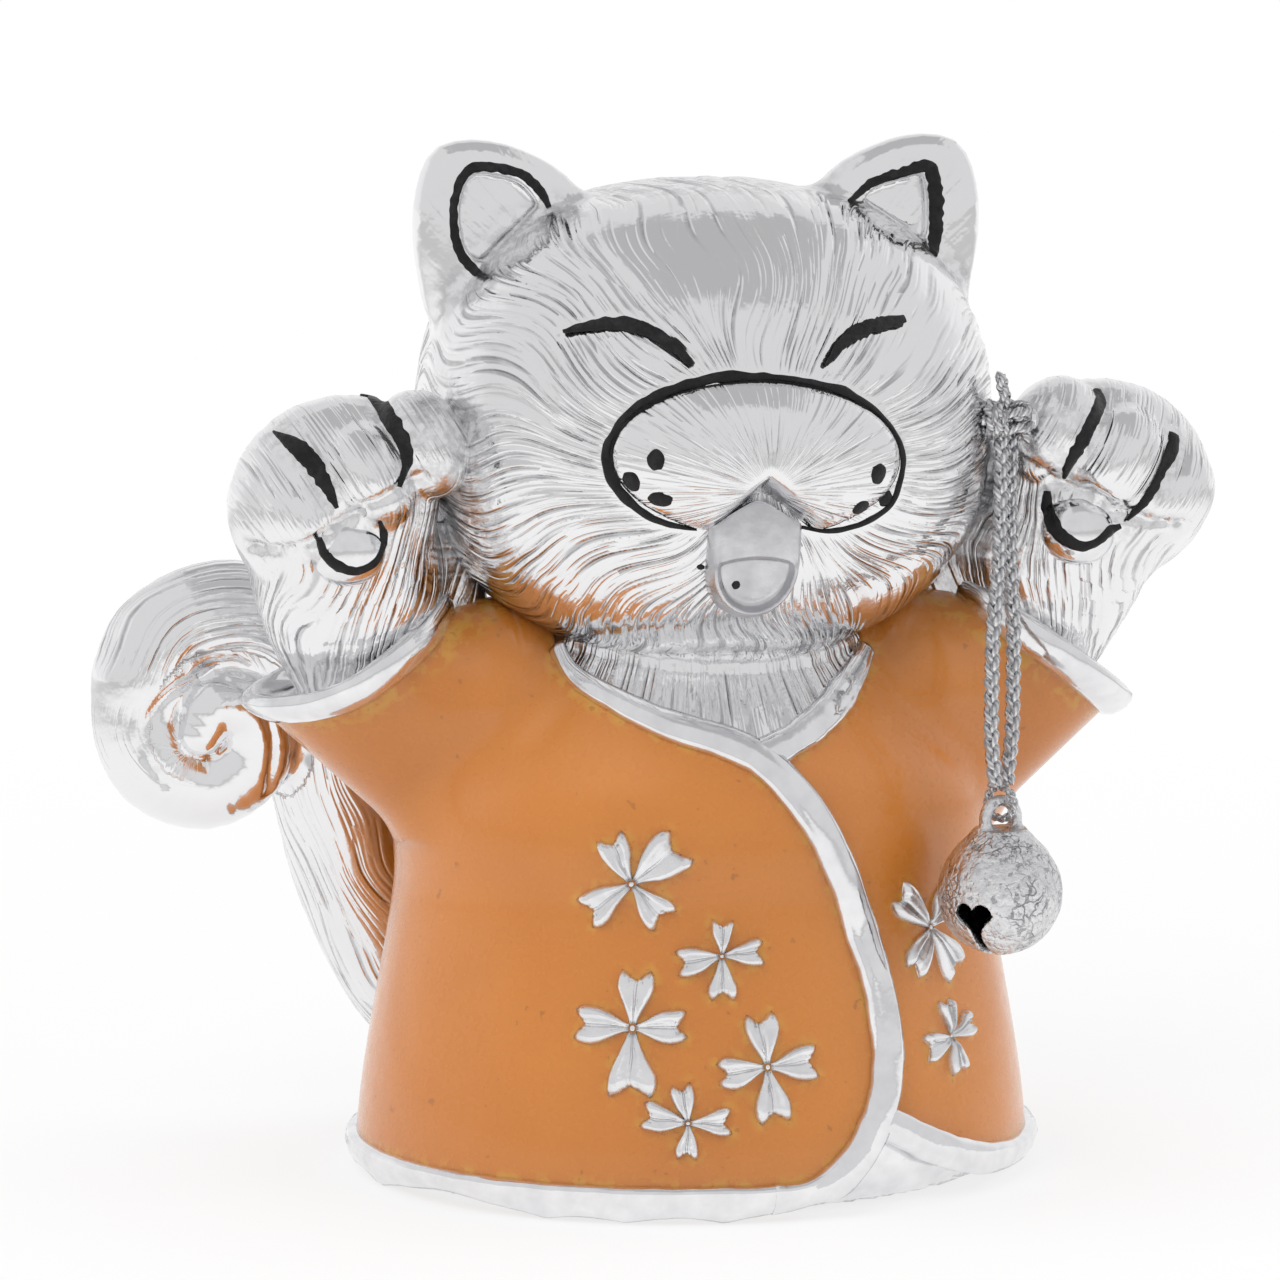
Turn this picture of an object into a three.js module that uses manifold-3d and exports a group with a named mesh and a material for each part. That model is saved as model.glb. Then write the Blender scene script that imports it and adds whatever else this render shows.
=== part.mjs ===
// Lucky cat figurine: plated castings, an enamelled wrap coat and a jingle bell on a plaited cord.
// Millimetres, +Z up, the cat looks along -Y, the origin lies under the middle of the base.
// "Right" and "left" are the cat's own sides: its right side is at -X.
import * as THREE from "three";
import { mergeVertices } from "three/addons/utils/BufferGeometryUtils.js";
import initManifold from "manifold-3d";

// Fits shared by all pieces
const SEAT = 0.3; // bond gap between two castings
const DOWEL_FIT = 0.15; // radial clearance of a dowel in its hole
const PIVOT_FIT = 0.25; // radial clearance where the cord turns on a peg

// Body and coat, as half widths and half depths at named heights
const HEM_Z = 3.6;
const HEM_HALF_WIDTH = 32.3;
const HEM_HALF_DEPTH = 28.6;
const BASE_TUCK = 1.7; // how far the foot draws in below the hem
const WAIST_Z = 27;
const WAIST_HALF_WIDTH = 28.7;
const WAIST_HALF_DEPTH = 25.3;
const CHEST_Z = 40;
const CHEST_HALF_WIDTH = 27.6;
const CHEST_HALF_DEPTH = 23.8;
const NECK_Z = 55.5;
const NECK_HALF_WIDTH = 14;
const NECK_HALF_DEPTH = 12.5;
const COAT_THICKNESS = 1.5;
const CORE_WALL = 3;
const HOLLOW_TOP_Z = 42;
const FELT_THICKNESS = 0.8;
const FELT_INSET = 4.5; // inside the hem outline
const PLATE_THICKNESS = 2;
const VENT_RADIUS = 2.5;
const VENT_Y = 10;

// Edging and blossoms
const BAND_WIDTH = 3.3;
const BAND_HEIGHT = 1.1;
const BLOSSOM_HEIGHT = 0.8;

// Sleeves, given by the middle of the cuff on the left side
const CUFF = [33.4, -3, 50.4];
const CUFF_RISE = 54; // degrees that the sleeve mouth looks up
const CUFF_RADIUS = 9.7;
const CUFF_FLARE = 0.2; // radius gained per millimetre towards the mouth
const CUFF_WALL = 1.2;
const CUFF_DEPTH = 8; // depth of the sleeve mouth
const SLEEVE_LENGTH = 15;
const SHOULDER = [20.5, -4, 46.5];
const SHOULDER_SIZE = [8.5, 9.5, 9];
const ARM_RADIUS = 6.9; // forearm at the cuff
const ARM_INWARD = 1.2; // how far the forearm stands inside the middle of the cuff
const ARM_DOWEL_RADIUS = 2.4;
const ARM_DOWEL_LENGTH = 11;

// Paw on the left side
const PAW = [37.2, -9.6, 66.2];
const PAW_LEAN = 1.1; // both paws stand this far towards the left
const PAW_SIZE = [10.2, 8.9, 8.9];
const PAW_TILT = 30; // degrees that the paw slopes down outwards
const WRIST = [33.8, -5.5, 58.5];
const WRIST_RADIUS = 8.3;
const TOE_SIZE = [3.9, 5.2, 6.2];
const TOE_PITCH = 5.9;
const PAD_SIZE = [3.6, 3, 3.4];
const PAD_OFFSET = [-2.4, -5.2, -4.4]; // from the middle of the paw to the middle of its pad
const PAD_LEAN = -1; // both pads stand this far towards the right

// Head
const HEAD = [0, -4.5, 72];
const HEAD_SIZE = [27, 23.5, 22.6];
const HEAD_SQUARENESS = 2.3;
const EAR_OUTLINE = [[8.8, 90], [12.6, 95], [17.2, 97.6], [21.6, 98.6], [25.3, 97.4], [27, 92.6], [26.6, 86.4],
  [24.4, 81], [16, 81]]; // left ear from the front, x and z
const EAR_FRONT_Y = -7.5;
const EAR_THICKNESS = 6.5;
const EAR_RIM = 0.34; // share of the ear left as rim round its hollow
const EAR_HOLLOW = 1.6;
const MUZZLE = [0, -24.6, 71];
const MUZZLE_SIZE = [13.1, 7, 7];
const LIP_NOTCH_Z = 69;
const TONGUE_HALF_WIDTH = 4.3;
const TONGUE_HEIGHT = 1.5;
const PAINT_WIDTH = 1.3;
const PAINT_HEIGHT = 0.35;
const PAINT_LIFT = 0.12;
const NECK_DOWEL_RADIUS = 5;
const NECK_DOWEL_LOW_Z = 43.5;
const NECK_DOWEL_HIGH_Z = 60;

// Tail
const TAIL_ROOT_ANGLE = -135; // degrees round the body from the front
const TAIL_ROOT_Z = 12.5;
const TAIL_DOWEL_RADIUS = 2;
const TAIL_DOWEL_INSIDE = 7;
const TAIL_DOWEL_OUTSIDE = 5;

// Bell and cord
const BELL_RADIUS = 5.8;
const BELL_WALL = 0.6;
const BELL_NECK = 4.7; // height of the cap over the middle of the bell
const BELL_ANGLE = 41.5;
const BELL_Z = 29.4;
const BELL_CLEARANCE = 1.8; // over the coat, room for the blossom behind it
const BELL_SEAM = 0.2;
const SLIT_WIDTH = 0.9;
const SLIT_HOLE_RADIUS = 1.1;
const SLIT_TURN = -42.5;
const EYE_RADIUS = 1.4;
const EYE_WIRE = 0.65;
const PELLET_RADIUS = 1.6;
const CORD_RADIUS = 0.75;
const HITCH_RADIUS = 1.5;
const HITCH_CORD = 0.5;
const KNOT_INSIDE = 1; // from the widest line of the head inwards to the knot
const KNOT = [HEAD_SIZE[0] - KNOT_INSIDE, -17.3, 72.6];
const KNOT_SIZE = [1.35, 1.7, 2];
const KNOT_END = [-0.2, -0.7, 4.3]; // cut end of the cord, from the middle of the knot
const PEG_RADIUS = 0.6;
const PEG_HEAD_RADIUS = 1;

const manifold = await initManifold();
manifold.setup();
const { Manifold, Mesh: SolidMesh } = manifold;

const vec = (x, y, z) => new THREE.Vector3(x, y, z);
const rad = THREE.MathUtils.degToRad;
const mirrored = (points, side) => points.map(([x, ...rest]) => [side * x, ...rest]);

// Plain shapes

// Closed skin over a row of rings that turn counter-clockwise about the way they advance.
function loft(rings) {
  const count = rings[0].length;
  const points = rings.flat();
  const middle = (ring) => ring.reduce((sum, p) => sum.add(p), vec(0, 0, 0)).divideScalar(count);
  const first = points.push(middle(rings[0])) - 1;
  const last = points.push(middle(rings.at(-1))) - 1;
  const end = (rings.length - 1) * count;
  const index = [];
  for (let j = 0; j < count; j++) {
    const k = (j + 1) % count;
    for (let i = 0; i < end; i += count) {
      index.push(i + j, i + k, i + count + k, i + j, i + count + k, i + count + j);
    }
    index.push(first, k, j, last, end + j, end + k);
  }
  return new THREE.BufferGeometry().setFromPoints(points).setIndex(index);
}

// Round bar along a smooth path through [x, y, z, radius] rows.
function bar(rows, steps, sides) {
  const path = new THREE.CatmullRomCurve3(rows.map(([x, y, z]) => vec(x, y, z)), false, "centripetal");
  const frames = path.computeFrenetFrames(steps);
  const rings = [];
  for (let i = 0; i <= steps; i++) {
    const along = path.getUtoTmapping(i / steps) * (rows.length - 1);
    const row = Math.min(Math.floor(along), rows.length - 2);
    const radius = THREE.MathUtils.lerp(rows[row][3], rows[row + 1][3], along - row);
    const centre = path.getPointAt(i / steps);
    rings.push(Array.from({ length: sides }, (_, j) => {
      const turn = (2 * Math.PI * j) / sides;
      return centre.clone()
        .addScaledVector(frames.normals[i], radius * Math.cos(turn))
        .addScaledVector(frames.binormals[i], radius * Math.sin(turn));
    }));
  }
  return loft(rings);
}

function ball(centre, size, across, down, tilt = 0) {
  return new THREE.SphereGeometry(1, across, down)
    .rotateX(Math.PI / 2).scale(...size).rotateY(rad(tilt)).translate(...centre);
}

// Pin between two points.
function pin(from, to, radius, sides = 14) {
  const axis = to.clone().sub(from);
  const turn = new THREE.Quaternion().setFromUnitVectors(vec(0, 1, 0), axis.clone().normalize());
  return new THREE.CylinderGeometry(radius, radius, axis.length(), sides)
    .applyQuaternion(turn)
    .translate(...from.clone().addScaledVector(axis, 0.5));
}

// Ring of round wire whose hole faces along an axis.
function ring(centre, axis, radius, wire, across, round) {
  const turn = new THREE.Quaternion().setFromUnitVectors(vec(0, 0, 1), axis);
  return new THREE.TorusGeometry(radius, wire, across, round).applyQuaternion(turn).translate(...centre);
}

// Prism with an outline of [x, z] in the front view, reaching from one depth to another.
function frontPrism(outline, yFront, yBack) {
  const shape = new THREE.Shape(outline.map(([x, z]) => new THREE.Vector2(x, z)));
  return new THREE.ExtrudeGeometry(shape, { depth: yBack - yFront, bevelEnabled: false })
    .rotateX(Math.PI / 2)
    .translate(0, yBack, 0);
}

// Solid of a turned outline of [radius, height], closed on the axis.
function turned(outline, segments) {
  const points = outline.map(([r, h]) => new THREE.Vector2(r, h));
  return new THREE.LatheGeometry(points, segments).rotateX(Math.PI / 2);
}

const closed = (outline) => [...outline, outline[0]];

// Joining and cutting

function solid(geometry) {
  geometry.deleteAttribute("normal");
  geometry.deleteAttribute("uv");
  const joined = mergeVertices(geometry, 1e-4);
  return new Manifold(new SolidMesh({
    numProp: 3,
    vertProperties: new Float32Array(joined.attributes.position.array),
    triVerts: new Uint32Array(joined.index.array),
  }));
}

const join = (...shapes) => Manifold.union(shapes);
const cut = (shape, ...tools) => shape.subtract(Manifold.union(tools));

function skin(shape) {
  const mesh = shape.getMesh();
  return new THREE.BufferGeometry()
    .setAttribute("position", new THREE.BufferAttribute(new Float32Array(mesh.vertProperties), 3))
    .setIndex([...mesh.triVerts]);
}

// Body surface: an oval whose half width and half depth follow the named heights

const bodyRows = [
  [0, HEM_HALF_WIDTH - BASE_TUCK, HEM_HALF_DEPTH - BASE_TUCK],
  [HEM_Z, HEM_HALF_WIDTH, HEM_HALF_DEPTH],
  [WAIST_Z, WAIST_HALF_WIDTH, WAIST_HALF_DEPTH],
  [CHEST_Z, CHEST_HALF_WIDTH, CHEST_HALF_DEPTH],
  [NECK_Z, NECK_HALF_WIDTH, NECK_HALF_DEPTH],
];

// Half width (column 1) or half depth (column 2) at a height, smooth through the rows.
function bodyHalf(z, column) {
  const at = (i) => bodyRows[THREE.MathUtils.clamp(i, 0, bodyRows.length - 1)];
  const found = bodyRows.findIndex(([height]) => height > z);
  const i = found < 0 ? bodyRows.length - 2 : Math.max(found - 1, 0);
  const slope = (k) => (at(k + 1)[column] - at(k - 1)[column]) / (at(k + 1)[0] - at(k - 1)[0]);
  const span = at(i + 1)[0] - at(i)[0];
  const t = (z - at(i)[0]) / span;
  const s = 1 - t;
  return at(i)[column] * s * s * (1 + 2 * t) + at(i + 1)[column] * t * t * (1 + 2 * s)
    + span * t * s * (slope(i) * s - slope(i + 1) * t);
}

function bodyPoint(angle, z, inset = 0) {
  const turn = rad(angle);
  return vec((bodyHalf(z, 1) - inset) * Math.sin(turn), (inset - bodyHalf(z, 2)) * Math.cos(turn), z);
}

function bodyNormal(angle, z) {
  const round = bodyPoint(angle + 0.1, z).sub(bodyPoint(angle - 0.1, z));
  const up = bodyPoint(angle, z + 0.05).sub(bodyPoint(angle, z - 0.05));
  return round.cross(up).normalize();
}

function bodySolid(inset, zLow, zHigh, levels, segments) {
  const rings = [];
  for (let i = 0; i <= levels; i++) {
    const z = THREE.MathUtils.lerp(zLow, zHigh, i / levels);
    rings.push(Array.from({ length: segments }, (_, j) => bodyPoint((360 * j) / segments, z, inset)));
  }
  return solid(loft(rings));
}

// Head surface: a squarish ball

function headDistance(p, grow = 0) {
  const part = (value, i) => Math.abs((value - HEAD[i]) / (HEAD_SIZE[i] + grow)) ** HEAD_SQUARENESS;
  return (part(p.x, 0) + part(p.y, 1) + part(p.z, 2)) ** (1 / HEAD_SQUARENESS);
}

function headSolid(grow, segments, levels) {
  const geometry = new THREE.SphereGeometry(1, segments, levels).rotateX(Math.PI / 2);
  const spots = geometry.attributes.position;
  for (let i = 0; i < spots.count; i++) {
    const spot = vec(...HEAD).add(vec().fromBufferAttribute(spots, i).multiplyScalar(HEAD_SIZE[2]));
    const scale = 1 / headDistance(spot, grow);
    spots.setXYZ(i, ...spot.sub(vec(...HEAD)).multiplyScalar(scale).add(vec(...HEAD)));
  }
  return solid(geometry);
}

// Point of the face seen at x and z from the front.
function facePoint(x, z) {
  const part = (value, i) => Math.abs((value - HEAD[i]) / HEAD_SIZE[i]) ** HEAD_SQUARENESS;
  const left = Math.max(0, 1 - part(x, 0) - part(z, 2)) ** (1 / HEAD_SQUARENESS);
  return vec(x, HEAD[1] - HEAD_SIZE[1] * left, z);
}

function faceNormal(x, z) {
  const across = facePoint(x + 0.05, z).sub(facePoint(x - 0.05, z));
  const up = facePoint(x, z + 0.05).sub(facePoint(x, z - 0.05));
  return across.cross(up).normalize();
}

// A surface as the pair of functions that the laid-on pieces need
const onBody = { point: bodyPoint, normal: bodyNormal };
const onFace = { point: facePoint, normal: faceNormal };

// Half-round strip along a smooth line through rows of surface coordinates.
function strip(surface, rows, steps, width, height, lift) {
  const line = new THREE.SplineCurve(rows.map(([u, v]) => new THREE.Vector2(u, v)));
  const section = [[1, 0], [0.72, 0.68], [0, 1], [-0.72, 0.68], [-1, 0]];
  const place = (t) => surface.point(...line.getPointAt(THREE.MathUtils.clamp(t, 0, 1)));
  const rings = [];
  for (let i = 0; i <= steps; i++) {
    const t = i / steps;
    const normal = surface.normal(...line.getPointAt(t));
    const forward = place(t + 0.004).sub(place(t - 0.004)).normalize();
    const side = normal.clone().cross(forward).normalize();
    const half = (typeof width === "function" ? width(t) : width) / 2;
    rings.push(section.map(([across, up]) => place(t)
      .addScaledVector(side, across * half)
      .addScaledVector(normal, lift + up * height)));
  }
  return loft(rings);
}

// Flat-topped piece laid on a surface; the outline is star-shaped round the middle.
function applied(surface, outline, lift, height) {
  const level = (raise) => outline.map(([u, v]) => surface.point(u, v)
    .addScaledVector(surface.normal(u, v), raise));
  return loft([level(lift), level(lift + height)]);
}

// Materials

const metal = (color, roughness) => ({ color, roughness, metalness: 1 });
const coated = (color, roughness) => ({ color, roughness, metalness: 0 });
const PLATING = metal(0xdcdcde, 0.12);
const ENAMEL = coated(0xcd844d, 0.2);
const PAINT = coated(0x262627, 0.45);
const ANTIQUE = metal(0xb4b4b6, 0.4);
const CORD = metal(0xa6a6a9, 0.5);
const RESIN = coated(0xd9d3c6, 0.6);
const FELT = coated(0x2c2c2f, 0.95);

const figure = new THREE.Group();
figure.name = "lucky_cat";

function add(name, geometry, look) {
  geometry.computeVertexNormals();
  const mesh = new THREE.Mesh(geometry, new THREE.MeshStandardMaterial(look));
  mesh.name = name;
  figure.add(mesh);
}

// Lines that several pieces follow

const hemLine = HEM_Z - BAND_WIDTH / 2 + 0.3; // middle of the hem edging
const neckline = [[-18.1, 51.9], [-9, 47.6], [0, 43.2], [2, 42.5], [9.2, 45.8], [14.9, 49.5]];
const leftHem = [[0.372, 8.6], [0.449, 7.2], [0.542, 5.5], [0.666, 3.8], [0.789, 2.6], [0.898, hemLine]]
  .map(([share, z]) => [share * HEM_HALF_WIDTH, z]);
const cuff = (side) => vec(side * CUFF[0], CUFF[1], CUFF[2]);
const sleeveWay = (side) => vec(side * Math.cos(rad(CUFF_RISE)), 0, Math.sin(rad(CUFF_RISE)));
const alongSleeve = (side, reach) => cuff(side).addScaledVector(sleeveWay(side), reach);

// Dowels, each with the hole it leaves in the pieces it joins

const armDowel = (side, grow) => solid(pin(
  alongSleeve(side, -CUFF_DEPTH - ARM_DOWEL_LENGTH / 2 - grow),
  alongSleeve(side, -CUFF_DEPTH + ARM_DOWEL_LENGTH / 2 + grow), ARM_DOWEL_RADIUS + grow));
const tailSeat = bodyPoint(TAIL_ROOT_ANGLE, TAIL_ROOT_Z);
const tailWay = bodyNormal(TAIL_ROOT_ANGLE, TAIL_ROOT_Z);
const tailDowel = (grow) => solid(pin(
  tailSeat.clone().addScaledVector(tailWay, -TAIL_DOWEL_INSIDE - grow),
  tailSeat.clone().addScaledVector(tailWay, TAIL_DOWEL_OUTSIDE + grow), TAIL_DOWEL_RADIUS + grow));
const neckDowel = (grow) => solid(pin(
  vec(0, HEAD[1], NECK_DOWEL_LOW_Z - grow), vec(0, HEAD[1], NECK_DOWEL_HIGH_Z + grow),
  NECK_DOWEL_RADIUS + grow, 18));
const peg = (grow) => solid(pin(
  vec(KNOT[0] - KNOT_SIZE[0] - 6 - grow, KNOT[1], KNOT[2]),
  vec(KNOT[0] + KNOT_SIZE[0] + PIVOT_FIT + 0.2, KNOT[1], KNOT[2]), PEG_RADIUS + grow, 8));
const dowelHoles = [armDowel(1, DOWEL_FIT), armDowel(-1, DOWEL_FIT), tailDowel(DOWEL_FIT), neckDowel(DOWEL_FIT)];

// Head, cut first because the coat and the arms make room for it

const headRoom = headSolid(SEAT, 28, 14);
const head = cut(headSolid(0, 28, 14), neckDowel(DOWEL_FIT), peg(DOWEL_FIT));
add("head", skin(head), PLATING);

// Body core, base and felt

const coreInset = COAT_THICKNESS + SEAT;
const hollowInset = coreInset + CORE_WALL;
const plateTop = FELT_THICKNESS + PLATE_THICKNESS;
const core = cut(
  bodySolid(coreInset, FELT_THICKNESS, NECK_Z, 6, 28),
  bodySolid(hollowInset + 0.5, -1, HOLLOW_TOP_Z, 4, 16),
  bodySolid(hollowInset, FELT_THICKNESS - 1, plateTop + SEAT, 1, 28), headRoom, ...dowelHoles);
add("body_core", skin(core), PLATING);

const vent = solid(pin(vec(0, VENT_Y, -1), vec(0, VENT_Y, plateTop + 1), VENT_RADIUS, 16));
const plate = bodySolid(hollowInset + SEAT, FELT_THICKNESS, plateTop, 1, 28);
add("base_plate", skin(cut(plate, vent)), RESIN);
add("base_felt", skin(cut(bodySolid(FELT_INSET, 0, FELT_THICKNESS, 1, 28), vent)), FELT);

// Edging: rows are degrees round the body and height

const frontEdge = [[-55, 50.4], [-38, 48.2], [-18, 45.4], [0, 42.9], [9.7, 38.5], [17, 31.9], [22.2, 24.3],
  [24.5, 17], [23.2, 11.5], [19, 7], [14, 4.1], [9, 2.6], [5, hemLine], [2, hemLine]];
const bandGap = 0.8; // degrees left between two lengths of edging
const hemTurn = (from, to, count) => Array.from({ length: count + 1 },
  (_, i) => [THREE.MathUtils.lerp(from, to, i / count), hemLine]);
const leftHemRows = leftHem.map(([x, z]) => [
  THREE.MathUtils.radToDeg(Math.asin(x / bodyHalf(z, 1))), z]);
const edging = (rows, steps) => strip(onBody, rows, steps, BAND_WIDTH, BAND_HEIGHT, SEAT);
const edgingRoom = (rows, steps) => solid(
  strip(onBody, rows, steps, BAND_WIDTH + 2 * SEAT, BAND_HEIGHT + 3 * SEAT, SEAT / 3));
const collarEdge = [[2, 42.2], [12, 44], [22, 46], [34, 48.4], [46, 50.2]];
const frontBandRoom = edgingRoom(frontEdge, 30);
// Arm from the bottom of the sleeve mouth to the toes, grown for the room that it needs

const elbow = (side) => alongSleeve(side, -CUFF_DEPTH + SEAT);
function arm(side, grow) {
  const at = (x, y, z) => [side * x, y, z];
  const paw = (x, y, z) => [side * x + PAW_LEAN, y, z];
  const forearm = bar([
    [...elbow(side), ARM_RADIUS - 0.7 + grow],
    [...at(CUFF[0] - ARM_INWARD, CUFF[1], CUFF[2]), ARM_RADIUS + grow],
    [...at(...WRIST), WRIST_RADIUS + grow],
    [...paw(...PAW), PAW_SIZE[1] - 1 + grow],
  ], 5, 14);
  const toes = [-1, 0, 1].map((k) => ball(
    paw(PAW[0] + k * TOE_PITCH * Math.cos(rad(PAW_TILT)), PAW[1] - 4.2 + Math.abs(k) * 1.4,
      PAW[2] + 1 - k * TOE_PITCH * Math.sin(rad(PAW_TILT)) - Math.abs(k)),
    TOE_SIZE.map((half) => half + grow), 8, 6, side * PAW_TILT));
  const palm = ball(paw(...PAW), PAW_SIZE.map((half) => half + grow), 14, 8, side * PAW_TILT);
  return join(solid(forearm), solid(palm), ...toes.map(solid));
}

// Coat with its sleeves

// Round cone about the sleeve between two distances from the mouth.
function sleeveCone(side, from, to, wall, sides) {
  const end = (reach) => [...alongSleeve(side, reach), CUFF_RADIUS - wall + reach * CUFF_FLARE];
  return solid(bar([end(from), end(to)], 3, sides));
}

function sleeve(side) {
  const shoulder = ball([side * SHOULDER[0], SHOULDER[1], SHOULDER[2]], SHOULDER_SIZE, 16, 10);
  return join(sleeveCone(side, -SLEEVE_LENGTH, 0, 0, 18), solid(shoulder));
}

const sleeveMouth = (side) => sleeveCone(side, -CUFF_DEPTH, CUFF_DEPTH, CUFF_WALL, 18);

// Edging round the mouth of a sleeve, grown for the room that it needs.
function cuffBand(side, grow) {
  const half = BAND_WIDTH / 2 + grow;
  const inner = CUFF_RADIUS + SEAT - grow * 0.6;
  const outer = CUFF_RADIUS + SEAT + BAND_HEIGHT + grow;
  const outline = [[inner, -half], [outer, -half * 0.6], [outer + 0.15, 0], [outer, half * 0.6], [inner, half]];
  const turn = new THREE.Quaternion().setFromUnitVectors(vec(0, 0, 1), sleeveWay(side));
  return solid(turned(closed(outline), 20).applyQuaternion(turn).translate(...alongSleeve(side, -BAND_WIDTH / 2)));
}

const neckOpening = [...neckline, [neckline.at(-1)[0], NECK_Z + 5], [neckline[0][0], NECK_Z + 5]];
const leftHemGap = [[leftHem[0][0], -1], ...leftHem, [leftHem.at(-1)[0], -1]];
const coat = cut(
  join(bodySolid(0, hemLine, NECK_Z, 8, 36), sleeve(1), sleeve(-1)),
  bodySolid(COAT_THICKNESS, FELT_THICKNESS, NECK_Z, 6, 28), sleeveMouth(1), sleeveMouth(-1), headRoom,
  solid(frontPrism(neckOpening, -HEM_HALF_DEPTH - 5, 0)),
  solid(frontPrism(leftHemGap, -HEM_HALF_DEPTH - 5, -8)), frontBandRoom, edgingRoom(collarEdge, 12),
  cuffBand(1, SEAT), cuffBand(-1, SEAT), arm(1, SEAT), arm(-1, SEAT), ...dowelHoles);
add("coat_shell", skin(coat), ENAMEL);

// Fur in the neck opening
const bibOutline = neckOpening.map(([x, z]) => [x * 0.95, NECK_Z + (z - NECK_Z) * 0.94]);
const bib = cut(
  bodySolid(COAT_THICKNESS * 0.35, HOLLOW_TOP_Z, NECK_Z, 4, 28)
    .intersect(solid(frontPrism(bibOutline, -HEM_HALF_DEPTH, -2))),
  bodySolid(coreInset - SEAT, FELT_THICKNESS, NECK_Z, 6, 28), headRoom);
add("chest_bib", skin(bib), PLATING);

// Edging

add("front_band", skin(cut(solid(edging(frontEdge, 30)), headRoom)), PLATING);
add("left_collar_band", skin(cut(solid(edging(collarEdge, 12)), frontBandRoom, headRoom)), PLATING);
add("right_hem_band", edging(hemTurn(frontEdge.at(-1)[0] - bandGap, -180 + bandGap, 12), 26), PLATING);
add("left_hem_band", skin(cut(
  solid(edging([...leftHemRows, ...hemTurn(75, 180 - bandGap, 7)], 24)), frontBandRoom)), PLATING);

add("right_cuff_band", skin(cut(cuffBand(-1, 0), headRoom, arm(-1, SEAT))), PLATING);
add("left_cuff_band", skin(cut(cuffBand(1, 0), headRoom, arm(1, SEAT))), PLATING);

// Blossoms: degrees round the body, height, reach of a petal, turn

const blossoms = [[-22.3, 31.5, 5.6, 45], [-6.3, 24.4, 4.1, 8], [-21.9, 18, 5.9, 0], [1.8, 14.2, 5.2, 4],
  [-12.6, 9.4, 4.2, 12], [38.7, 24.7, 4.6, 40], [41.5, 14.7, 3.9, 6]];
const petal = [[-45, 0.2], [-21, 0.74], [-14, 1], [0, 0.84], [14, 1], [21, 0.74]]; // degrees, share of reach
blossoms.forEach(([angle, z, reach, turn], i) => {
  const perDegree = bodyPoint(angle + 0.5, z).distanceTo(bodyPoint(angle - 0.5, z));
  const outline = [0, 90, 180, 270].flatMap((quarter) => petal.map(([swing, share]) => {
    const way = rad(quarter + swing + turn);
    return [angle + (reach * share * Math.cos(way)) / perDegree, z + reach * share * Math.sin(way)];
  }));
  add(`blossom_${i + 1}`, applied(onBody, outline, SEAT, BLOSSOM_HEIGHT), PLATING);
});

// Ears

function ear(side) {
  const rim = new THREE.SplineCurve([...EAR_OUTLINE, EAR_OUTLINE[0]].map(([x, z]) => new THREE.Vector2(x, z)));
  const corners = rim.getSpacedPoints(20).slice(0, -1);
  const centre = corners.reduce((sum, p) => sum.add(p), new THREE.Vector2()).divideScalar(corners.length);
  const outline = (margin) => {
    const shape = corners.map((p) => p.clone().lerp(centre, margin)).map((p) => [side * p.x, p.y]);
    return side > 0 ? shape.reverse() : shape;
  };
  const level = (depth, margin) => outline(margin).map(
    ([x, z]) => vec(x, EAR_FRONT_Y + EAR_THICKNESS * depth, z));
  const body = solid(loft([level(1, 0.34), level(0.88, 0.14), level(0.62, 0), level(0.3, 0.02), level(0, 0.16)]));
  const hollow = solid(frontPrism(outline(EAR_RIM), EAR_FRONT_Y - 1, EAR_FRONT_Y + EAR_HOLLOW));
  return cut(body, hollow, headRoom);
}
add("right_ear", skin(ear(-1)), PLATING);
add("left_ear", skin(ear(1)), PLATING);

// Muzzle, tongue and painted lines

const lipNotch = frontPrism([[0, LIP_NOTCH_Z], [-9, LIP_NOTCH_Z - 9], [9, LIP_NOTCH_Z - 9]], -60, 0);
const muzzleAt = (grow) => solid(ball(MUZZLE, MUZZLE_SIZE.map((half) => half + grow), 20, 10));
add("muzzle", skin(cut(muzzleAt(0), solid(lipNotch), headRoom)), PLATING);

const tongueTop = LIP_NOTCH_Z - 3;
const tongueMiddle = LIP_NOTCH_Z - 8;
const tongueOutline = [[-2.2, tongueTop], [-TONGUE_HALF_WIDTH, tongueMiddle + 2.4]];
for (let i = 0; i <= 8; i++) {
  const way = Math.PI + (Math.PI * i) / 8;
  tongueOutline.push([TONGUE_HALF_WIDTH * Math.cos(way), tongueMiddle + 4.8 * Math.sin(way)]);
}
tongueOutline.push([TONGUE_HALF_WIDTH, tongueMiddle + 2.4], [2.2, tongueTop]);
const tongue = solid(applied(onFace, tongueOutline, -TONGUE_HEIGHT, 2 * TONGUE_HEIGHT + SEAT));
add("tongue", skin(cut(tongue, headRoom)), PLATING);

const muzzleRing = [];
for (let way = -65; way <= 245; way += 15.5) {
  muzzleRing.push([(MUZZLE_SIZE[0] + PAINT_WIDTH / 2) * Math.cos(rad(way)),
    MUZZLE[2] + (MUZZLE_SIZE[2] + PAINT_WIDTH / 2) * Math.sin(rad(way))]);
}
const muzzleLine = solid(strip(onFace, muzzleRing, 34, PAINT_WIDTH, PAINT_HEIGHT, PAINT_LIFT));
add("muzzle_line", skin(cut(muzzleLine, muzzleAt(SEAT))), PAINT);
const eyeRows = [[6.4, 79.4], [8.2, 81.1], [10.8, 82.4], [14, 82.9], [17, 82]];
const eyeWidth = (t) => PAINT_WIDTH * (0.35 + Math.sin(Math.PI * (0.1 + 0.75 * (1 - t))));
for (const [side, name] of [[-1, "right"], [1, "left"]]) {
  const line = strip(onFace, mirrored(eyeRows, side), 10, eyeWidth, PAINT_HEIGHT, PAINT_LIFT);
  add(`${name}_eye_line`, line, PAINT);
}

// Arms with paws and pads

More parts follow.
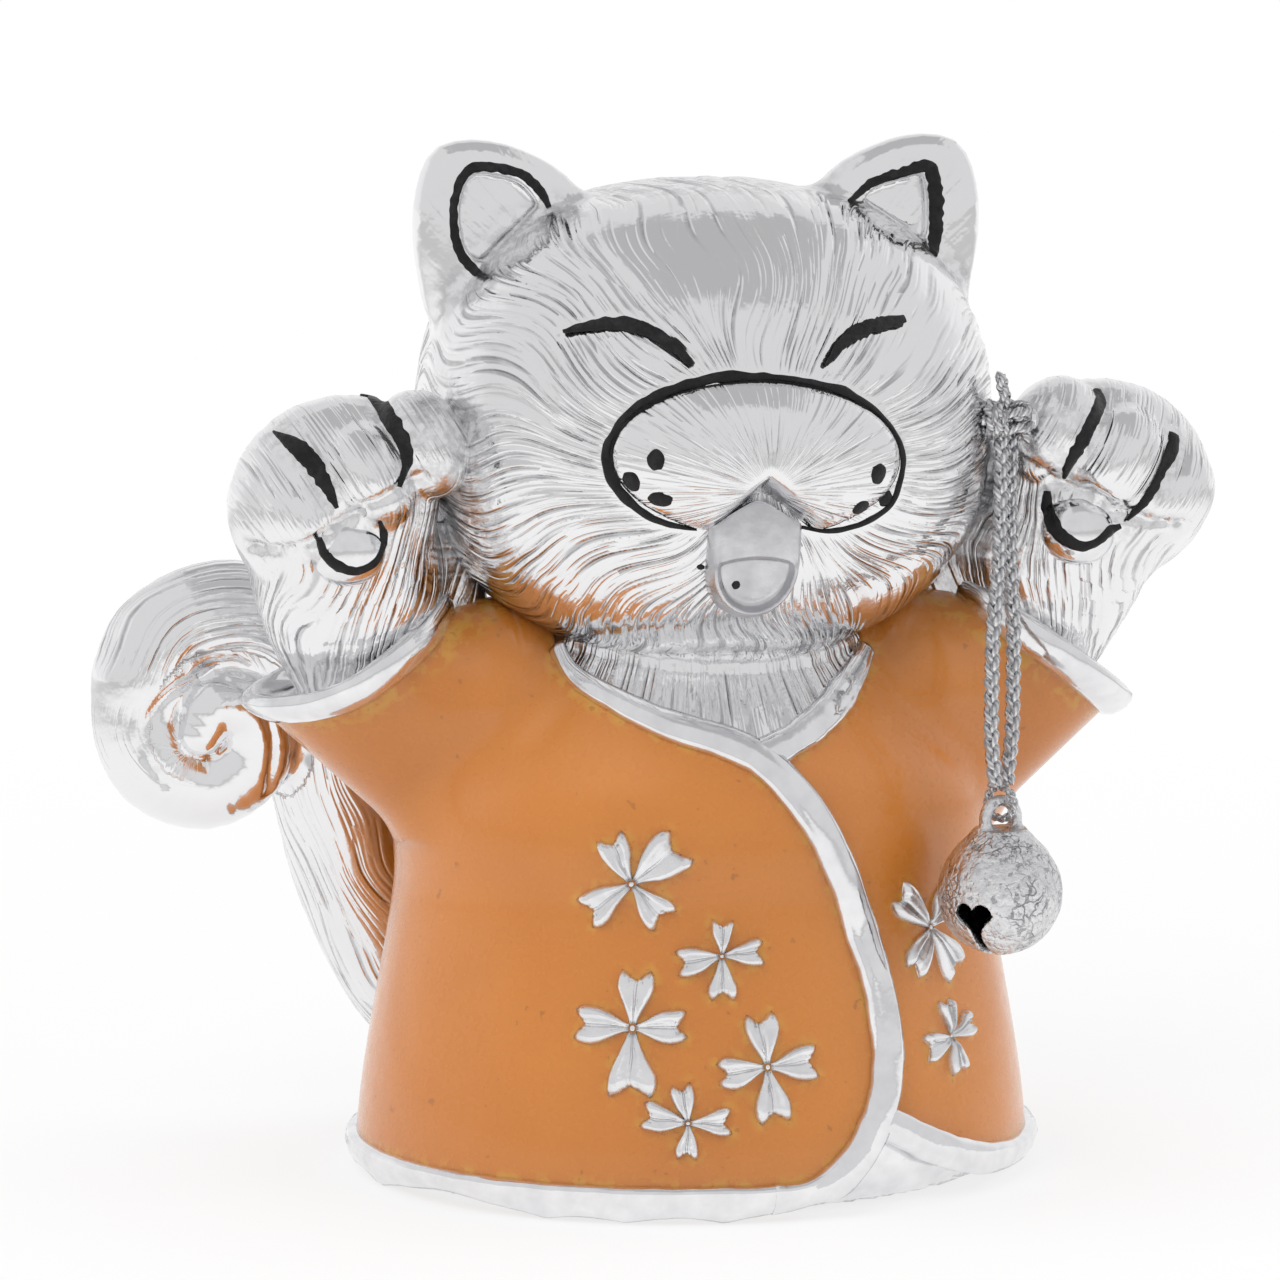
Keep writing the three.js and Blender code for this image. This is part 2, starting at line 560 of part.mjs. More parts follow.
for (const [side, name] of [[-1, "right"], [1, "left"]]) {
  add(`${name}_arm`, skin(cut(arm(side, 0), headRoom, armDowel(side, DOWEL_FIT))), PLATING);
  const [padX, padY, padZ] = PAD_OFFSET.map((offset, i) => PAW[i] + offset);
  const pad = ball([side * padX + PAD_LEAN, padY, padZ], PAD_SIZE, 10, 6);
  add(`${name}_paw_pad`, skin(cut(solid(pad), arm(side, SEAT))), PLATING);
  add(`${name}_arm_dowel`, skin(armDowel(side, 0)), RESIN);
}
add("neck_dowel", skin(neckDowel(0)), RESIN);

// Tail: a stem that rises from the body and rolls up; rows are x, y, z, radius

const tailStem = [[-16.5, 20, 9.5, 4.8], [-22, 22.5, 13, 6.3], [-28.4, 20, 24, 6.2], [-32.2, 17, 36, 5.9],
  [-35.2, 15, 46, 5.7], [-40.8, 14, 51.6, 5.6], [-47.7, 14, 50.2, 5.5], [-50.8, 14, 44, 5.2],
  [-49.3, 13.5, 38.4, 5], [-44.8, 13, 36.1, 4.5]];
const tailTip = [[-46.8, 13.2, 36.6, 4.6], [-44.8, 13, 36.1, 4.5], [-40.7, 12, 38.6, 4], [-40.9, 11, 42.8, 3.5],
  [-44.3, 10, 44, 2.8], [-46.1, 9.4, 41.4, 1.6]];
const tail = join(solid(bar(tailStem, 20, 10)), solid(bar(tailTip, 8, 8)));
add("tail", skin(cut(tail, bodySolid(-SEAT, -2, NECK_Z, 8, 36), tailDowel(DOWEL_FIT))), PLATING);
add("tail_dowel", skin(tailDowel(0)), RESIN);

// Bell: hangs clear of the coat, its eye looking away from the body

const bellWay = bodyNormal(BELL_ANGLE, BELL_Z).setZ(0).normalize();
const bell = bodyPoint(BELL_ANGLE, BELL_Z).addScaledVector(bellWay, BELL_RADIUS + BELL_CLEARANCE);
const eye = bell.clone().add(vec(0, 0, BELL_NECK + SEAT / 2 + EYE_RADIUS + EYE_WIRE));
const bellInner = BELL_RADIUS - BELL_WALL;
const arc = (radius, from, to, count) => Array.from({ length: count + 1 }, (_, i) => {
  const way = rad(THREE.MathUtils.lerp(from, to, i / count));
  return [Math.abs(radius * Math.cos(way)), radius * Math.sin(way)];
});
const seam = THREE.MathUtils.radToDeg(BELL_SEAM / 2 / BELL_RADIUS);
const capOutline = [...arc(BELL_RADIUS, seam, 34, 3), [3.9, BELL_NECK - 0.75], [2.7, BELL_NECK - 0.15],
  [0, BELL_NECK], [0, BELL_NECK - 0.8], [2.4, BELL_NECK - 0.95], ...arc(bellInner, 38, seam, 3)];
add("bell_cap", turned(closed(capOutline), 16).translate(...bell), ANTIQUE);

const bowlOutline = closed([[0, -BELL_RADIUS], ...arc(BELL_RADIUS, -68, -seam, 4),
  ...arc(bellInner, -seam, -68, 4), [0, -bellInner]]);
const slitWay = vec(Math.sin(rad(SLIT_TURN)), -Math.cos(rad(SLIT_TURN)), 0);
const slitTop = -BELL_RADIUS * Math.sin(rad(25));
const slit = new THREE.BoxGeometry(2 * BELL_RADIUS, SLIT_WIDTH, BELL_RADIUS)
  .rotateZ(rad(SLIT_TURN - 90)).translate(0, 0, slitTop - BELL_RADIUS / 2);
const slitHole = pin(vec(0, 0, slitTop).addScaledVector(slitWay, -BELL_RADIUS - 1),
  vec(0, 0, slitTop).addScaledVector(slitWay, BELL_RADIUS + 1), SLIT_HOLE_RADIUS, 12);
const bowl = cut(solid(turned(bowlOutline, 16)), solid(slit), solid(slitHole));
add("bell_bowl", skin(bowl.translate([bell.x, bell.y, bell.z])), ANTIQUE);
add("bell_eye", ring(eye, bellWay, EYE_RADIUS, EYE_WIRE, 6, 14), ANTIQUE);
const pelletRest = vec(0, 0, -bellInner + PELLET_RADIUS + SEAT / 2).add(bell);
add("bell_pellet", ball(pelletRest.toArray(), [PELLET_RADIUS, PELLET_RADIUS, PELLET_RADIUS], 10, 6), ANTIQUE);

// Cord: a hitch through the eye, two strands up to the knot on the peg

const hitchWay = bellWay.clone().cross(vec(0, 0, 1)).normalize();
const hitch = eye.clone().add(vec(0, 0, HITCH_RADIUS));
add("cord_hitch", ring(hitch, hitchWay, HITCH_RADIUS, HITCH_CORD, 6, 14), CORD);
const knot = vec(...KNOT);
const strandTop = knot.clone().add(vec(0, 0, -KNOT_SIZE[2] - CORD_RADIUS));
const strandFoot = hitch.clone().add(vec(0, 0, HITCH_RADIUS + HITCH_CORD + SEAT));
for (const [side, name] of [[-1, "right"], [1, "left"]]) {
  const rows = [0, 0.12, 0.3, 0.55, 0.8, 0.93, 1].map((t) => {
    const spread = CORD_RADIUS + SEAT / 2 + 0.8 * Math.sin(Math.PI * t);
    const place = strandTop.clone().lerp(strandFoot, t).addScaledVector(hitchWay, -side * spread);
    return [...place, CORD_RADIUS];
  });
  add(`cord_${name}_strand`, bar(rows, 14, 8), CORD);
}
const cutEnd = vec(...KNOT_END).add(knot);
const tuft = bar([[...knot, CORD_RADIUS], [...knot.clone().lerp(cutEnd, 0.5), CORD_RADIUS],
  [...cutEnd, CORD_RADIUS * 1.15]], 5, 8);
const knotBody = join(solid(ball(KNOT, KNOT_SIZE, 10, 6)), solid(tuft));
add("cord_knot", skin(cut(knotBody, peg(PIVOT_FIT))), CORD);
const pegEnd = knot.x + KNOT_SIZE[0] + PIVOT_FIT + 0.2;
const pegHead = ball([pegEnd + PEG_HEAD_RADIUS * 0.6, knot.y, knot.z],
  [PEG_HEAD_RADIUS * 0.7, PEG_HEAD_RADIUS, PEG_HEAD_RADIUS], 10, 6);
add("cord_peg", skin(join(peg(0), solid(pegHead))), PLATING);

export default figure;
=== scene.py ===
import math

import bpy
import numpy as np
import openvdb as vdb
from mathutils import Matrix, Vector, noise


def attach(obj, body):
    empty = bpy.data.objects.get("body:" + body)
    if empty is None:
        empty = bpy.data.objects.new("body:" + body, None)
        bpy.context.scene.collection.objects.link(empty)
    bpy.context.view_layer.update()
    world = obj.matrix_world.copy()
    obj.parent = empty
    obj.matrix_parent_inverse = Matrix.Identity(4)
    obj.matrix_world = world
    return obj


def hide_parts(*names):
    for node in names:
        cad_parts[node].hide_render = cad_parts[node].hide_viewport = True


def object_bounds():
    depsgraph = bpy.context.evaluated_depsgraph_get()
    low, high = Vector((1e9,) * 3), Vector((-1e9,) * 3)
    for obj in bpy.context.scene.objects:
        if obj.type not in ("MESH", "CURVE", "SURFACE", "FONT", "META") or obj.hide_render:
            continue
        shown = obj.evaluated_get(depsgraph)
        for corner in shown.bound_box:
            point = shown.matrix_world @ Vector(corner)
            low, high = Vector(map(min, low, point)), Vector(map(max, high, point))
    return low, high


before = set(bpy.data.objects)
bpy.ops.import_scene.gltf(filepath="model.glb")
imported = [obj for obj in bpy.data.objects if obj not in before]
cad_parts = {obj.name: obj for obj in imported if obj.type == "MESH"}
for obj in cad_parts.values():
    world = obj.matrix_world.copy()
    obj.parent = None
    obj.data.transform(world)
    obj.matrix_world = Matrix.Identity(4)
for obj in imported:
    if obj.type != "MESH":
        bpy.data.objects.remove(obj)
cad_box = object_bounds()

# Shapes are worked out in millimetres and written to the meshes in metres.
MM = 0.001
# The cat's own right and left, as the sign of x
SIDES = {"right": -1, "left": 1}
# Start of a search for the nearest, and the distance given to points well away from a form
FAR, CLEAR = 1e9, 50.0
# Keeps a division by a length from failing at zero
TINY = 1e-9

# The view of the photograph: distance in millimetres, scale in pixels to the millimetre
VIEW_TURN, VIEW_RISE = math.radians(-12.5), math.radians(8)
VIEW_REACH = 600.0
PHOTO_SIZE = 1280
PHOTO_SCALE = 10.5
LOOK_AT = np.array([-4.835, 1.072, 50.31])
VIEW_RIGHT = np.array([math.cos(VIEW_TURN), math.sin(VIEW_TURN), 0])
VIEW_BACK = np.array([math.sin(VIEW_TURN) * math.cos(VIEW_RISE),
                      -math.cos(VIEW_TURN) * math.cos(VIEW_RISE), math.sin(VIEW_RISE)])
VIEW_UP = np.cross(VIEW_BACK, VIEW_RIGHT)
EYE_POINT = LOOK_AT + VIEW_BACK * VIEW_REACH

# Body and coat: height, half width, half depth
BODY_ROWS = np.array([[0, 30.6, 26.9], [3.6, 32.3, 28.6], [27, 28.7, 25.3], [40, 27.6, 23.8],
                      [55.5, 14, 12.5]])
HEM_LINE = 2.25
NECK_TOP = 55.5
# Neckline and lower edge of the left panel: x and height
NECKLINE = np.array([[-18.1, 51.9], [-9, 47.6], [0, 43.2], [2, 42.5], [9.2, 45.8], [14.9, 49.5]])
NECK_RIGHT, NECK_LEFT = -15.2, 13.6
LEFT_HEM = np.array([[12, 8.6], [14.5, 7.2], [17.5, 5.5], [21.5, 3.8], [25.5, 2.6], [29, HEM_LINE]])
HEM_NOTCH = np.array([[4.2, HEM_LINE], [7.8, 3.7], [10.3, 6.5]])
# Edgings: degrees round the body and height
FRONT_EDGE = [[-55, 50.4], [-38, 48.2], [-18, 45.4], [0, 42.9], [9.7, 38.5], [17, 31.9], [22.2, 24.3],
              [24.5, 17], [23.2, 11.5], [19, 7], [14, 4.1], [9, 2.6], [5, HEM_LINE], [2, HEM_LINE]]
COLLAR_EDGE = [[2, 42.2], [12, 44], [22, 46], [34, 48.4], [46, 50.2]]
BAND_WIDTH, BAND_HEIGHT = 3.3, 1.25
HEM_TUCK, HEM_GAP_BACK = 1.2, -8.0
# Where the left panel dips beside the front edge: degrees past the edge, and height
LAP_DEPTH, LAP_START, LAP_END, LAP_TOP = 0.75, (0, 3), (14, 44), (36, 43)
# Casting under the coat, and the fur in the neck opening
CORE_INSET, CORE_FOOT, CORE_TOP = 0.9, 0.8, 54.0
BIB_TOP, BIB_CURVE, BIB_SLANT = 51.2, 0.008, 0.02
BIB_INSET, BIB_DEPTH, BIB_TUCK = 0.45, 2.6, 1.2
BIB_LIP, BIB_LIP_INSET, BIB_LIP_DROP = 0.85, 0.7, 0.5

# Sleeves, on the left side
CUFF, CUFF_RISE = np.array([33.4, -3, 50.4]), math.radians(54)
CUFF_RADIUS, CUFF_FLARE, CUFF_WALL, CUFF_DEPTH = 9.7, 0.2, 1.2, 8.0
CUFF_SETBACK, CUFF_LIFT = 1.9, {-1: 2.6, 1: 0.0}
SLEEVE_LENGTH = 16.0
SHOULDER, SHOULDER_SIZE = np.array([20.5, -4, 46.5]), np.array([8.5, 9.5, 9])

# Paws, on the left side; the web fills the space between arm and cheek: x, y, z, radius
PAW, PAW_SIZE = np.array([37.2, -9.6, 66.2]), np.array([10.2, 7.7, 8.9])
PAW_TILT, PAW_LEAN = math.radians(30), 1.1
WRIST, WRIST_RADIUS = np.array([34.3, -5.5, 58.8]), 9.0
ARM_RADIUS, ARM_INWARD = 7.2, 1.2
ARM_WEB = np.array([[25.0, -1.5, 54.6, 4.8], [25.8, -2.0, 59, 4.4], [27.0, -3.0, 68, 3.4]])
TOE_SIZE, TOE_PITCH, TOE_INWARD = np.array([4.3, 5.3, 5.2]), 6.4, 1.6
TOE_FORWARD, TOE_UP = 4.6, 2.2
PAD, PAD_SIZE, PAD_LEAN = np.array([34.8, -14.8, 61.8]), np.array([3.6, 3, 3.4]), -1.0

# Head
HEAD, HEAD_SIZE, HEAD_POWER = np.array([0, -4.5, 72]), np.array([27, 23.5, 22.6]), 2.3
EAR_OUTLINE = np.array([[8.8, 90], [12.6, 95], [17.2, 97.6], [21.6, 98.5], [25.3, 97.4], [27, 92.6],
                        [26.6, 86.4], [24.4, 81], [16, 81]])
EAR_FRONT, EAR_BACK, EAR_SHIFT = -7.5, -1.0, -0.6
EAR_ROUND, EAR_HOLLOW, EAR_RIM = 2.3, 1.7, 0.8
# How far an ear tapers from the front and the back, and over which heights
EAR_TAPER_FRONT, EAR_TAPER_BACK = (0.6, 88, 99), (2.2, 80, 98)
# Space round an ear: middle and half width of x and y, and the lowest z
EAR_SPACE_X, EAR_SPACE_Y, EAR_SPACE_FOOT = (18, 13), (-4, 8), 77
# Lower edge of the hollow in each ear, x and z
EAR_SILL = {-1: [[-22.4, 85.6], [-15.4, 90.6]], 1: [[14.6, 89.2], [22.6, 84.4]]}
MUZZLE, MUZZLE_SIZE = np.array([0.0, 0, 70.6]), np.array([13.5, 3.6, 7.15])
MUZZLE_TILT = math.radians(3)
LIP_NOTCH, LIP_SLOPE, LIP_FRONT = np.array([0.1, 69.5]), math.radians(56), -31.3
TONGUE_MIDDLE, TONGUE_HALF = np.array([-0.4, 60.7]), 4.3
TONGUE_DROP, TONGUE_STEP, TONGUE_ROOF = 5.0, 61.3, 67.4
TONGUE_RISE, TONGUE_RIM, TONGUE_SHELF, TONGUE_DEPTH = 0.2, 1.1, 0.75, 1.5
MOUTH_MIDDLE = 66.5

# Tail: x, y, z, radius; past the split the tail curls back over its own stem
TAIL_ROWS = np.array([
    [-16.5, 20, 9.5, 4.8], [-22, 22.5, 13, 6.3], [-28.4, 20, 24, 6.2], [-32.2, 17, 36, 5.9],
    [-35.2, 15, 46, 5.7], [-40.8, 14, 51.6, 5.6], [-47.7, 14, 50.2, 5.5], [-50.55, 14, 44, 5.1],
    [-49.3, 13.5, 38.4, 5], [-44.8, 13, 36.1, 4.5], [-40.7, 12, 38.6, 4], [-40.9, 11, 42.8, 3.5],
    [-44.3, 10, 44, 2.9], [-45.9, 9.6, 41.4, 2.2]])
TAIL_STEPS, TAIL_SPLIT = 84, 56

# Bell and cord
BELL, BELL_RADIUS, BELL_WALL = np.array([23.604, -24.812, 29.4]), 5.8, 0.6
BELL_PEAK, BELL_CROWN = 8.8, 6.0
BELL_WAY = np.array([0.6138, -0.7895, 0.0])
BELL_EYE, EYE_RADIUS, EYE_WIRE = BELL + [0, 0, 6.9], 1.7, 0.55
EYE_WAY = np.array([math.sin(math.radians(18)), -math.cos(math.radians(18)), 0])
SLIT_TURN, SLIT_HALF = math.radians(-42.5), 0.42
HEART_LOBE, HEART_SPREAD, HEART_HEIGHT = 0.88, 0.85, -1.15
KNOT, CORD_DIAMETER = np.array([26, -17.3, 72.6]), 1.5
STRAND_TOP, STRAND_FOOT = np.array([26, -17.3, 69.85]), np.array([23.604, -24.812, 40.1])
# The plait: length of one crossing, how far threads swing aside and over, and their radius
PLAIT = {"pitch": 4.2 * MM, "spread": 0.42 * MM, "lift": 0.24 * MM, "thread": 0.34 * MM, "steps": 220}
HITCH_PLAIT = {"pitch": 2.6 * MM, "spread": 0.22 * MM, "lift": 0.14 * MM, "thread": 0.24 * MM, "steps": 90}
THREAD_COUNT, THREAD_SIDES = 3, 8

# Blossoms: degrees round the body, height, then the turn and the reach of each petal
BLOSSOMS = [[-22.6, 31.2, (39, 5.9), (115, 4.8), (213, 5.3), (312, 4.6)],
            [-6.0, 24.6, (5, 3.9), (88, 3.3), (189, 4.2), (270, 4.0)],
            [-21.9, 18.1, (2, 4.9), (87, 5.2), (177, 5.4), (270, 6.3)],
            [1.6, 14.4, (3, 4.9), (98, 4.9), (187, 4.6), (276, 5.1)],
            [-12.1, 9.5, (0, 4.0), (101, 3.6), (170, 4.3), (267, 3.3)],
            [40.8, 25.3, (40, 4.8), (140, 5.4), (229, 4.8), (305, 5.6)],
            [42.6, 15.0, (15, 3.8), (92, 3.4), (191, 3.9), (278, 3.6)]]
PETALS, PETAL_RELIEF, BOSS_RADIUS, PETAL_START = 4, 0.85, 0.045, 0.02

# Crease that winds into the curl of the tail, in photo pixels
TAIL_CURL = [(270, 790), (273, 735), (252, 693), (215, 678), (177, 689), (150, 719), (146, 755), (164, 784)]
# Fold under the toes of each paw, in photo pixels
TOE_CREASE = {"right": [(246, 545), (271, 551), (298, 549), (319, 540), (338, 526), (356, 513), (388, 497),
                        (421, 479)],
              "left": [(1012, 458), (1029, 467), (1055, 482), (1086, 492), (1112, 508), (1145, 520),
                       (1180, 524)]}
# Painted strokes: photo pixel x, y and width of the stroke
EYE_ROWS = {"right": [(563, 331, 0.3), (591, 325, 1.0), (622, 323, 1.2), (649, 331, 1.15), (672, 344, 1.15),
                      (692, 364, 0.5)],
            "left": [(905, 319, 0.8), (886, 323, 1.2), (863, 329, 1.25), (844, 342, 1.0), (827, 365, 0.25)]}
MUZZLE_ROWS = [(697, 529, 0.35), (668, 524, 0.6), (645, 514, 0.7), (622, 495, 0.9), (609, 472, 1.05),
               (610, 445, 1.1), (626, 420, 1.1), (649, 401, 1.1), (683, 386, 1.0), (725, 377, 1.0),
               (764, 378, 0.95), (806, 383, 0.95), (844, 392, 0.9), (874, 411, 0.8), (894, 434, 0.7),
               (903, 457, 0.65), (900, 482, 0.6), (893, 501, 0.6), (880, 514, 0.6), (856, 526, 0.55),
               (829, 531, 0.5), (799, 527, 0.3)]
EAR_ROWS = {"right": [(549, 207, 0.5), (541, 192, 0.9), (526, 177, 0.9), (503, 169, 0.9), (477, 167, 1.0),
                      (463, 177, 0.9), (455, 200, 0.8), (454, 223, 0.8), (459, 250, 0.9), (473, 269, 0.9),
                      (486, 279, 0.4)],
            "left": [(850, 201, 0.5), (874, 182, 0.9), (905, 172, 1.0), (928, 167, 1.3), (935, 189, 1.5),
                     (936, 219, 1.4), (934, 246, 1.2), (933, 264, 0.5)]}
TOE_ROWS = {"right": [[(274, 432, 0.3), (293, 444, 1.5), (311, 461, 1.75), (326, 485, 1.3), (337, 508, 0.4)],
                      [(362, 390, 0.5), (378, 403, 1.5), (392, 423, 1.7), (404, 446, 1.6), (406, 464, 1.2),
                       (400, 487, 0.3)],
                      [(319, 539, 0.6), (326, 556, 1.0), (342, 568, 1.05), (360, 571, 0.9), (378, 559, 0.8),
                       (384, 538, 0.8), (380, 522, 0.4)]],
            "left": [[(1097, 390, 0.8), (1100, 403, 1.5), (1092, 422, 1.5), (1081, 444, 1.6),
                      (1070, 463, 1.2), (1064, 478, 0.4)],
                     [(1174, 434, 1.2), (1172, 449, 1.5), (1161, 471, 1.2), (1152, 490, 1.15),
                      (1140, 507, 0.8), (1127, 520, 0.3)],
                     [(1047, 491, 0.7), (1048, 512, 1.5), (1059, 534, 1.5), (1079, 546, 1.1),
                      (1096, 543, 0.9), (1110, 531, 1.0), (1121, 526, 0.5)]]}
# Painted spots: photo pixel x, y, half width and half height
WHISKER_DOTS = [(656, 460, 0.85, 0.95), (631, 482, 0.95, 1.0), (660, 500, 1.2, 0.75),
                (879, 474, 0.95, 0.95), (885, 498, 0.75, 0.85), (861, 508, 0.95, 0.8)]
SPECKS = [(701, 567, 0.4, 0.3), (736, 585, 0.4, 0.42)]

# Boxes in which the forms are sculpted: lowest corner, highest corner, size of the cells
SPACES = {"coat": ([-46, -31, 0.5], [46, 31, 57], 0.5), "core": ([-34, -31, 0], [34, 31, 55], 0.8),
          "bib": ([-20, -26, 40], [18, -1, 54], 0.34), "head": ([-30, -31, 47], [30, 21, 100], 0.36),
          "muzzle": ([-15, -33, 62], [15, -18, 80], 0.26), "tongue": ([-6, -32, 54], [6, -20, 69], 0.22),
          "right_arm": ([-50, -21, 40], [-18.5, 6, 78], 0.34),
          "left_arm": ([18.5, -21, 40], [50, 6, 78], 0.34), "tail": ([-57.5, 6, 4], [-10, 30.5, 59], 0.31),
          "bell": (BELL - [6.6, 6.6, 6.6], BELL + [6.6, 6.6, 10], 0.15)}
PAD_MARGIN, PAD_CELL = 0.6, 0.2
# Depth of the fur that is combed into each form, and of the creases pressed into it
FUR_DEPTH = {"head": 0.36, "muzzle": 0.16, "arm": 0.32, "tail": 0.34, "bib": 0.3}
EYE_GROOVE, TOE_FOLD, TAIL_GROOVE = 0.4, 0.9, 0.45
# Height of the paint over the skin
EYE_PAINT, STROKE_PAINT = 0.13, 0.2

# Grey of the surroundings that the plating mirrors: all round, behind the figure, and the card above it
HAZE, BACK_HAZE, CARD = (0.76, 0.76, 0.765, 1), (0.92, 0.92, 0.925, 1), (0.51, 0.51, 0.515, 1)
SOFT_LIGHT, WHITE = (0.45, 0.45, 0.455, 1), (1, 1, 1, 1)
FLOOR_SIZE, FLOOR_GREY, FLOOR_MIRROR = 5.0, (0.86, 0.86, 0.86, 1), (0.62, 0.62, 0.62, 1)
# Lamps: name, place, size and power
LAMPS = [("key_light", (-0.45, -0.55, 0.75), 0.6, 3.7), ("fill_light", (0.6, -0.5, 0.4), 0.6, 1.6),
         ("top_light", (0.0, 0.1, 0.9), 0.7, 2.2), ("right_side_light", (-0.9, 0.1, 0.3), 0.6, 3.0),
         ("left_side_light", (0.9, 0.1, 0.3), 0.6, 3.0)]


# Lines

def smooth_line(rows, count):
    """Evenly spaced points on a smooth line through the rows, in any number of columns."""
    rows = np.asarray(rows, float)
    padded = np.vstack([2 * rows[0] - rows[1], rows, 2 * rows[-1] - rows[-2]])
    t = np.linspace(0, 1, 24, endpoint=False)[:, None]
    fine = []
    for i in range(1, len(padded) - 2):
        a, b, c, d = padded[i - 1:i + 3]
        leave, arrive = (c - a) / 2, (d - b) / 2
        fine.append(b * (1 + 2 * t) * (1 - t) ** 2 + c * t * t * (3 - 2 * t)
                    + leave * t * (1 - t) ** 2 - arrive * t * t * (1 - t))
    fine = np.vstack(fine + [rows[-1:]])
    reach = np.concatenate([[0], np.cumsum(np.linalg.norm(np.diff(fine, axis=0), axis=1))])
    return np.column_stack([np.interp(np.linspace(0, reach[-1], count), reach, column) for column in fine.T])


def ramp(value, low, high):
    """Smooth step from 0 at low to 1 at high."""
    t = np.clip((value - low) / (high - low), 0, 1)
    return t * t * (3 - 2 * t)


def sight(pixels):
    """Ways from the camera through pixels of the photograph."""
    pixels = np.asarray(pixels, float) - PHOTO_SIZE / 2
    aside = (pixels[:, :1] * VIEW_RIGHT - pixels[:, 1:2] * VIEW_UP) / PHOTO_SCALE
    way = aside - VIEW_BACK * VIEW_REACH
    return way / np.linalg.norm(way, axis=1)[:, None]


# Solid shapes as distances: negative inside, positive outside

def merge(a, b, soft):
    t = np.clip(0.5 + 0.5 * (b - a) / soft, 0, 1)
    return b + (a - b) * t - soft * t * (1 - t)


def carve(a, b, soft):
    return -merge(-a, b, soft)


def egg(p, centre, size, tilt=0.0):
    q = p - centre
    if tilt:
        c, s = math.cos(tilt), math.sin(tilt)
        q = np.column_stack([c * q[:, 0] - s * q[:, 2], q[:, 1], s * q[:, 0] + c * q[:, 2]])
    near = np.linalg.norm(q / size, axis=1)
    return near * (near - 1) / (np.linalg.norm(q / (size * size), axis=1) + TINY)


def rope(p, rows):
    """Distance to a round bar of changing thickness, and the row where each point is nearest to it."""
    best = np.full(len(p), FAR)
    spot = np.zeros(len(p))
    for i in range(len(rows) - 1):
        start, radius = rows[i, :3], rows[i, 3]
        way = rows[i + 1, :3] - start
        t = np.clip((p - start) @ way / (way @ way), 0, 1)
        thick = radius + t * (rows[i + 1, 3] - radius)
        gap = np.linalg.norm(p - start - t[:, None] * way, axis=1) - thick
        nearer = gap < best
        best[nearer] = gap[nearer]
        spot[nearer] = (i + t)[nearer]
    return best, spot


BODY_Z = np.linspace(-4, 60, 1281)


def body_column(column):
    """Half width or half depth of the body at each height of BODY_Z, smooth through its rows."""
    z, v = BODY_ROWS[:, 0], BODY_ROWS[:, column]
    found = np.clip(np.searchsorted(z, BODY_Z, side="right") - 1, 0, len(z) - 2)
    rows = np.arange(len(z))
    low, high = np.clip(rows - 1, 0, None), np.clip(rows + 1, None, len(z) - 1)
    slope = (v[high] - v[low]) / (z[high] - z[low])
    span = z[found + 1] - z[found]
    t = (np.clip(BODY_Z, -1, 57) - z[found]) / span
    s = 1 - t
    return (v[found] * s * s * (1 + 2 * t) + v[found + 1] * t * t * (1 + 2 * s)
            + span * t * s * (slope[found] * s - slope[found + 1] * t))


BODY_WIDE, BODY_DEEP = body_column(1), body_column(2)


def body_size(z):
    return np.interp(z, BODY_Z, BODY_WIDE), np.interp(z, BODY_Z, BODY_DEEP)


def body_form(p, inset=0.0):
    wide, deep = body_size(p[:, 2])
    wide, deep = wide - inset, deep - inset
    u, v = p[:, 0] / wide, p[:, 1] / deep
    q = np.hypot(u, v) + TINY
    return (q - 1) * q / (np.hypot(u / wide, v / deep) + TINY)


def body_point(degrees, z):
    """Points on the body at degrees from the front and a height."""
    wide, deep = body_size(z)
    turn = np.radians(degrees)
    return np.column_stack([wide * np.sin(turn), -deep * np.cos(turn), z])


def body_degrees(p):
    wide, deep = body_size(p[:, 2])
    return np.degrees(np.arctan2(p[:, 0] / wide, -p[:, 1] / deep))


def sleeve_axes(side):
    return CUFF * [side, 1, 1], np.array([side * math.cos(CUFF_RISE), 0, math.sin(CUFF_RISE)])


def from_sleeve(p, side):
    """How far points lie along a sleeve's axis, and their way out from it."""
    middle, way = sleeve_axes(side)
    along = (p - middle) @ way
    return along, p - middle - along[:, None] * way


def outer_end(p, side):
    """How far points lie towards the outer end of a cuff, from 0 to 1."""
    away = from_sleeve(p, side)[1]
    outer = np.array([side * math.sin(CUFF_RISE), 0, -math.cos(CUFF_RISE)])
    return np.clip(away @ outer / (np.linalg.norm(away, axis=1) + TINY), 0, 1) ** 2


def sleeve_form(p, side, wall=0.0):
    along, away = from_sleeve(p, side)
    out = np.linalg.norm(away, axis=1)
    return (out - (CUFF_RADIUS - wall + CUFF_FLARE * along)) * 0.98, along


def neck_opening(p):
    line = np.interp(p[:, 0], NECKLINE[:, 0], NECKLINE[:, 1])
    return np.maximum.reduce([(line - p[:, 2]) * 0.88, p[:, 1], p[:, 0] - NECK_LEFT, NECK_RIGHT - p[:, 0]])


def coat_skin(p, lap=LAP_DEPTH):
    """Outside of the coat without its openings; the left panel lies lower next to the front edge."""
    z = p[:, 2]
    d = body_form(p)
    edge = np.array(FRONT_EDGE[3:-2])[::-1]
    past = body_degrees(p) - np.interp(z, edge[:, 1], edge[:, 0])
    d = d + lap * ramp(past, *LAP_START) * (1 - ramp(past, *LAP_END)) * (1 - ramp(z, *LAP_TOP))
    for side in SIDES.values():
        cone, along = sleeve_form(p, side)
        arm = np.maximum(cone, -SLEEVE_LENGTH - along)
        arm = merge(arm, egg(p, SHOULDER * [side, 1, 1], SHOULDER_SIZE), soft=4.0)
        d = merge(d, arm, soft=3.2)
    return d


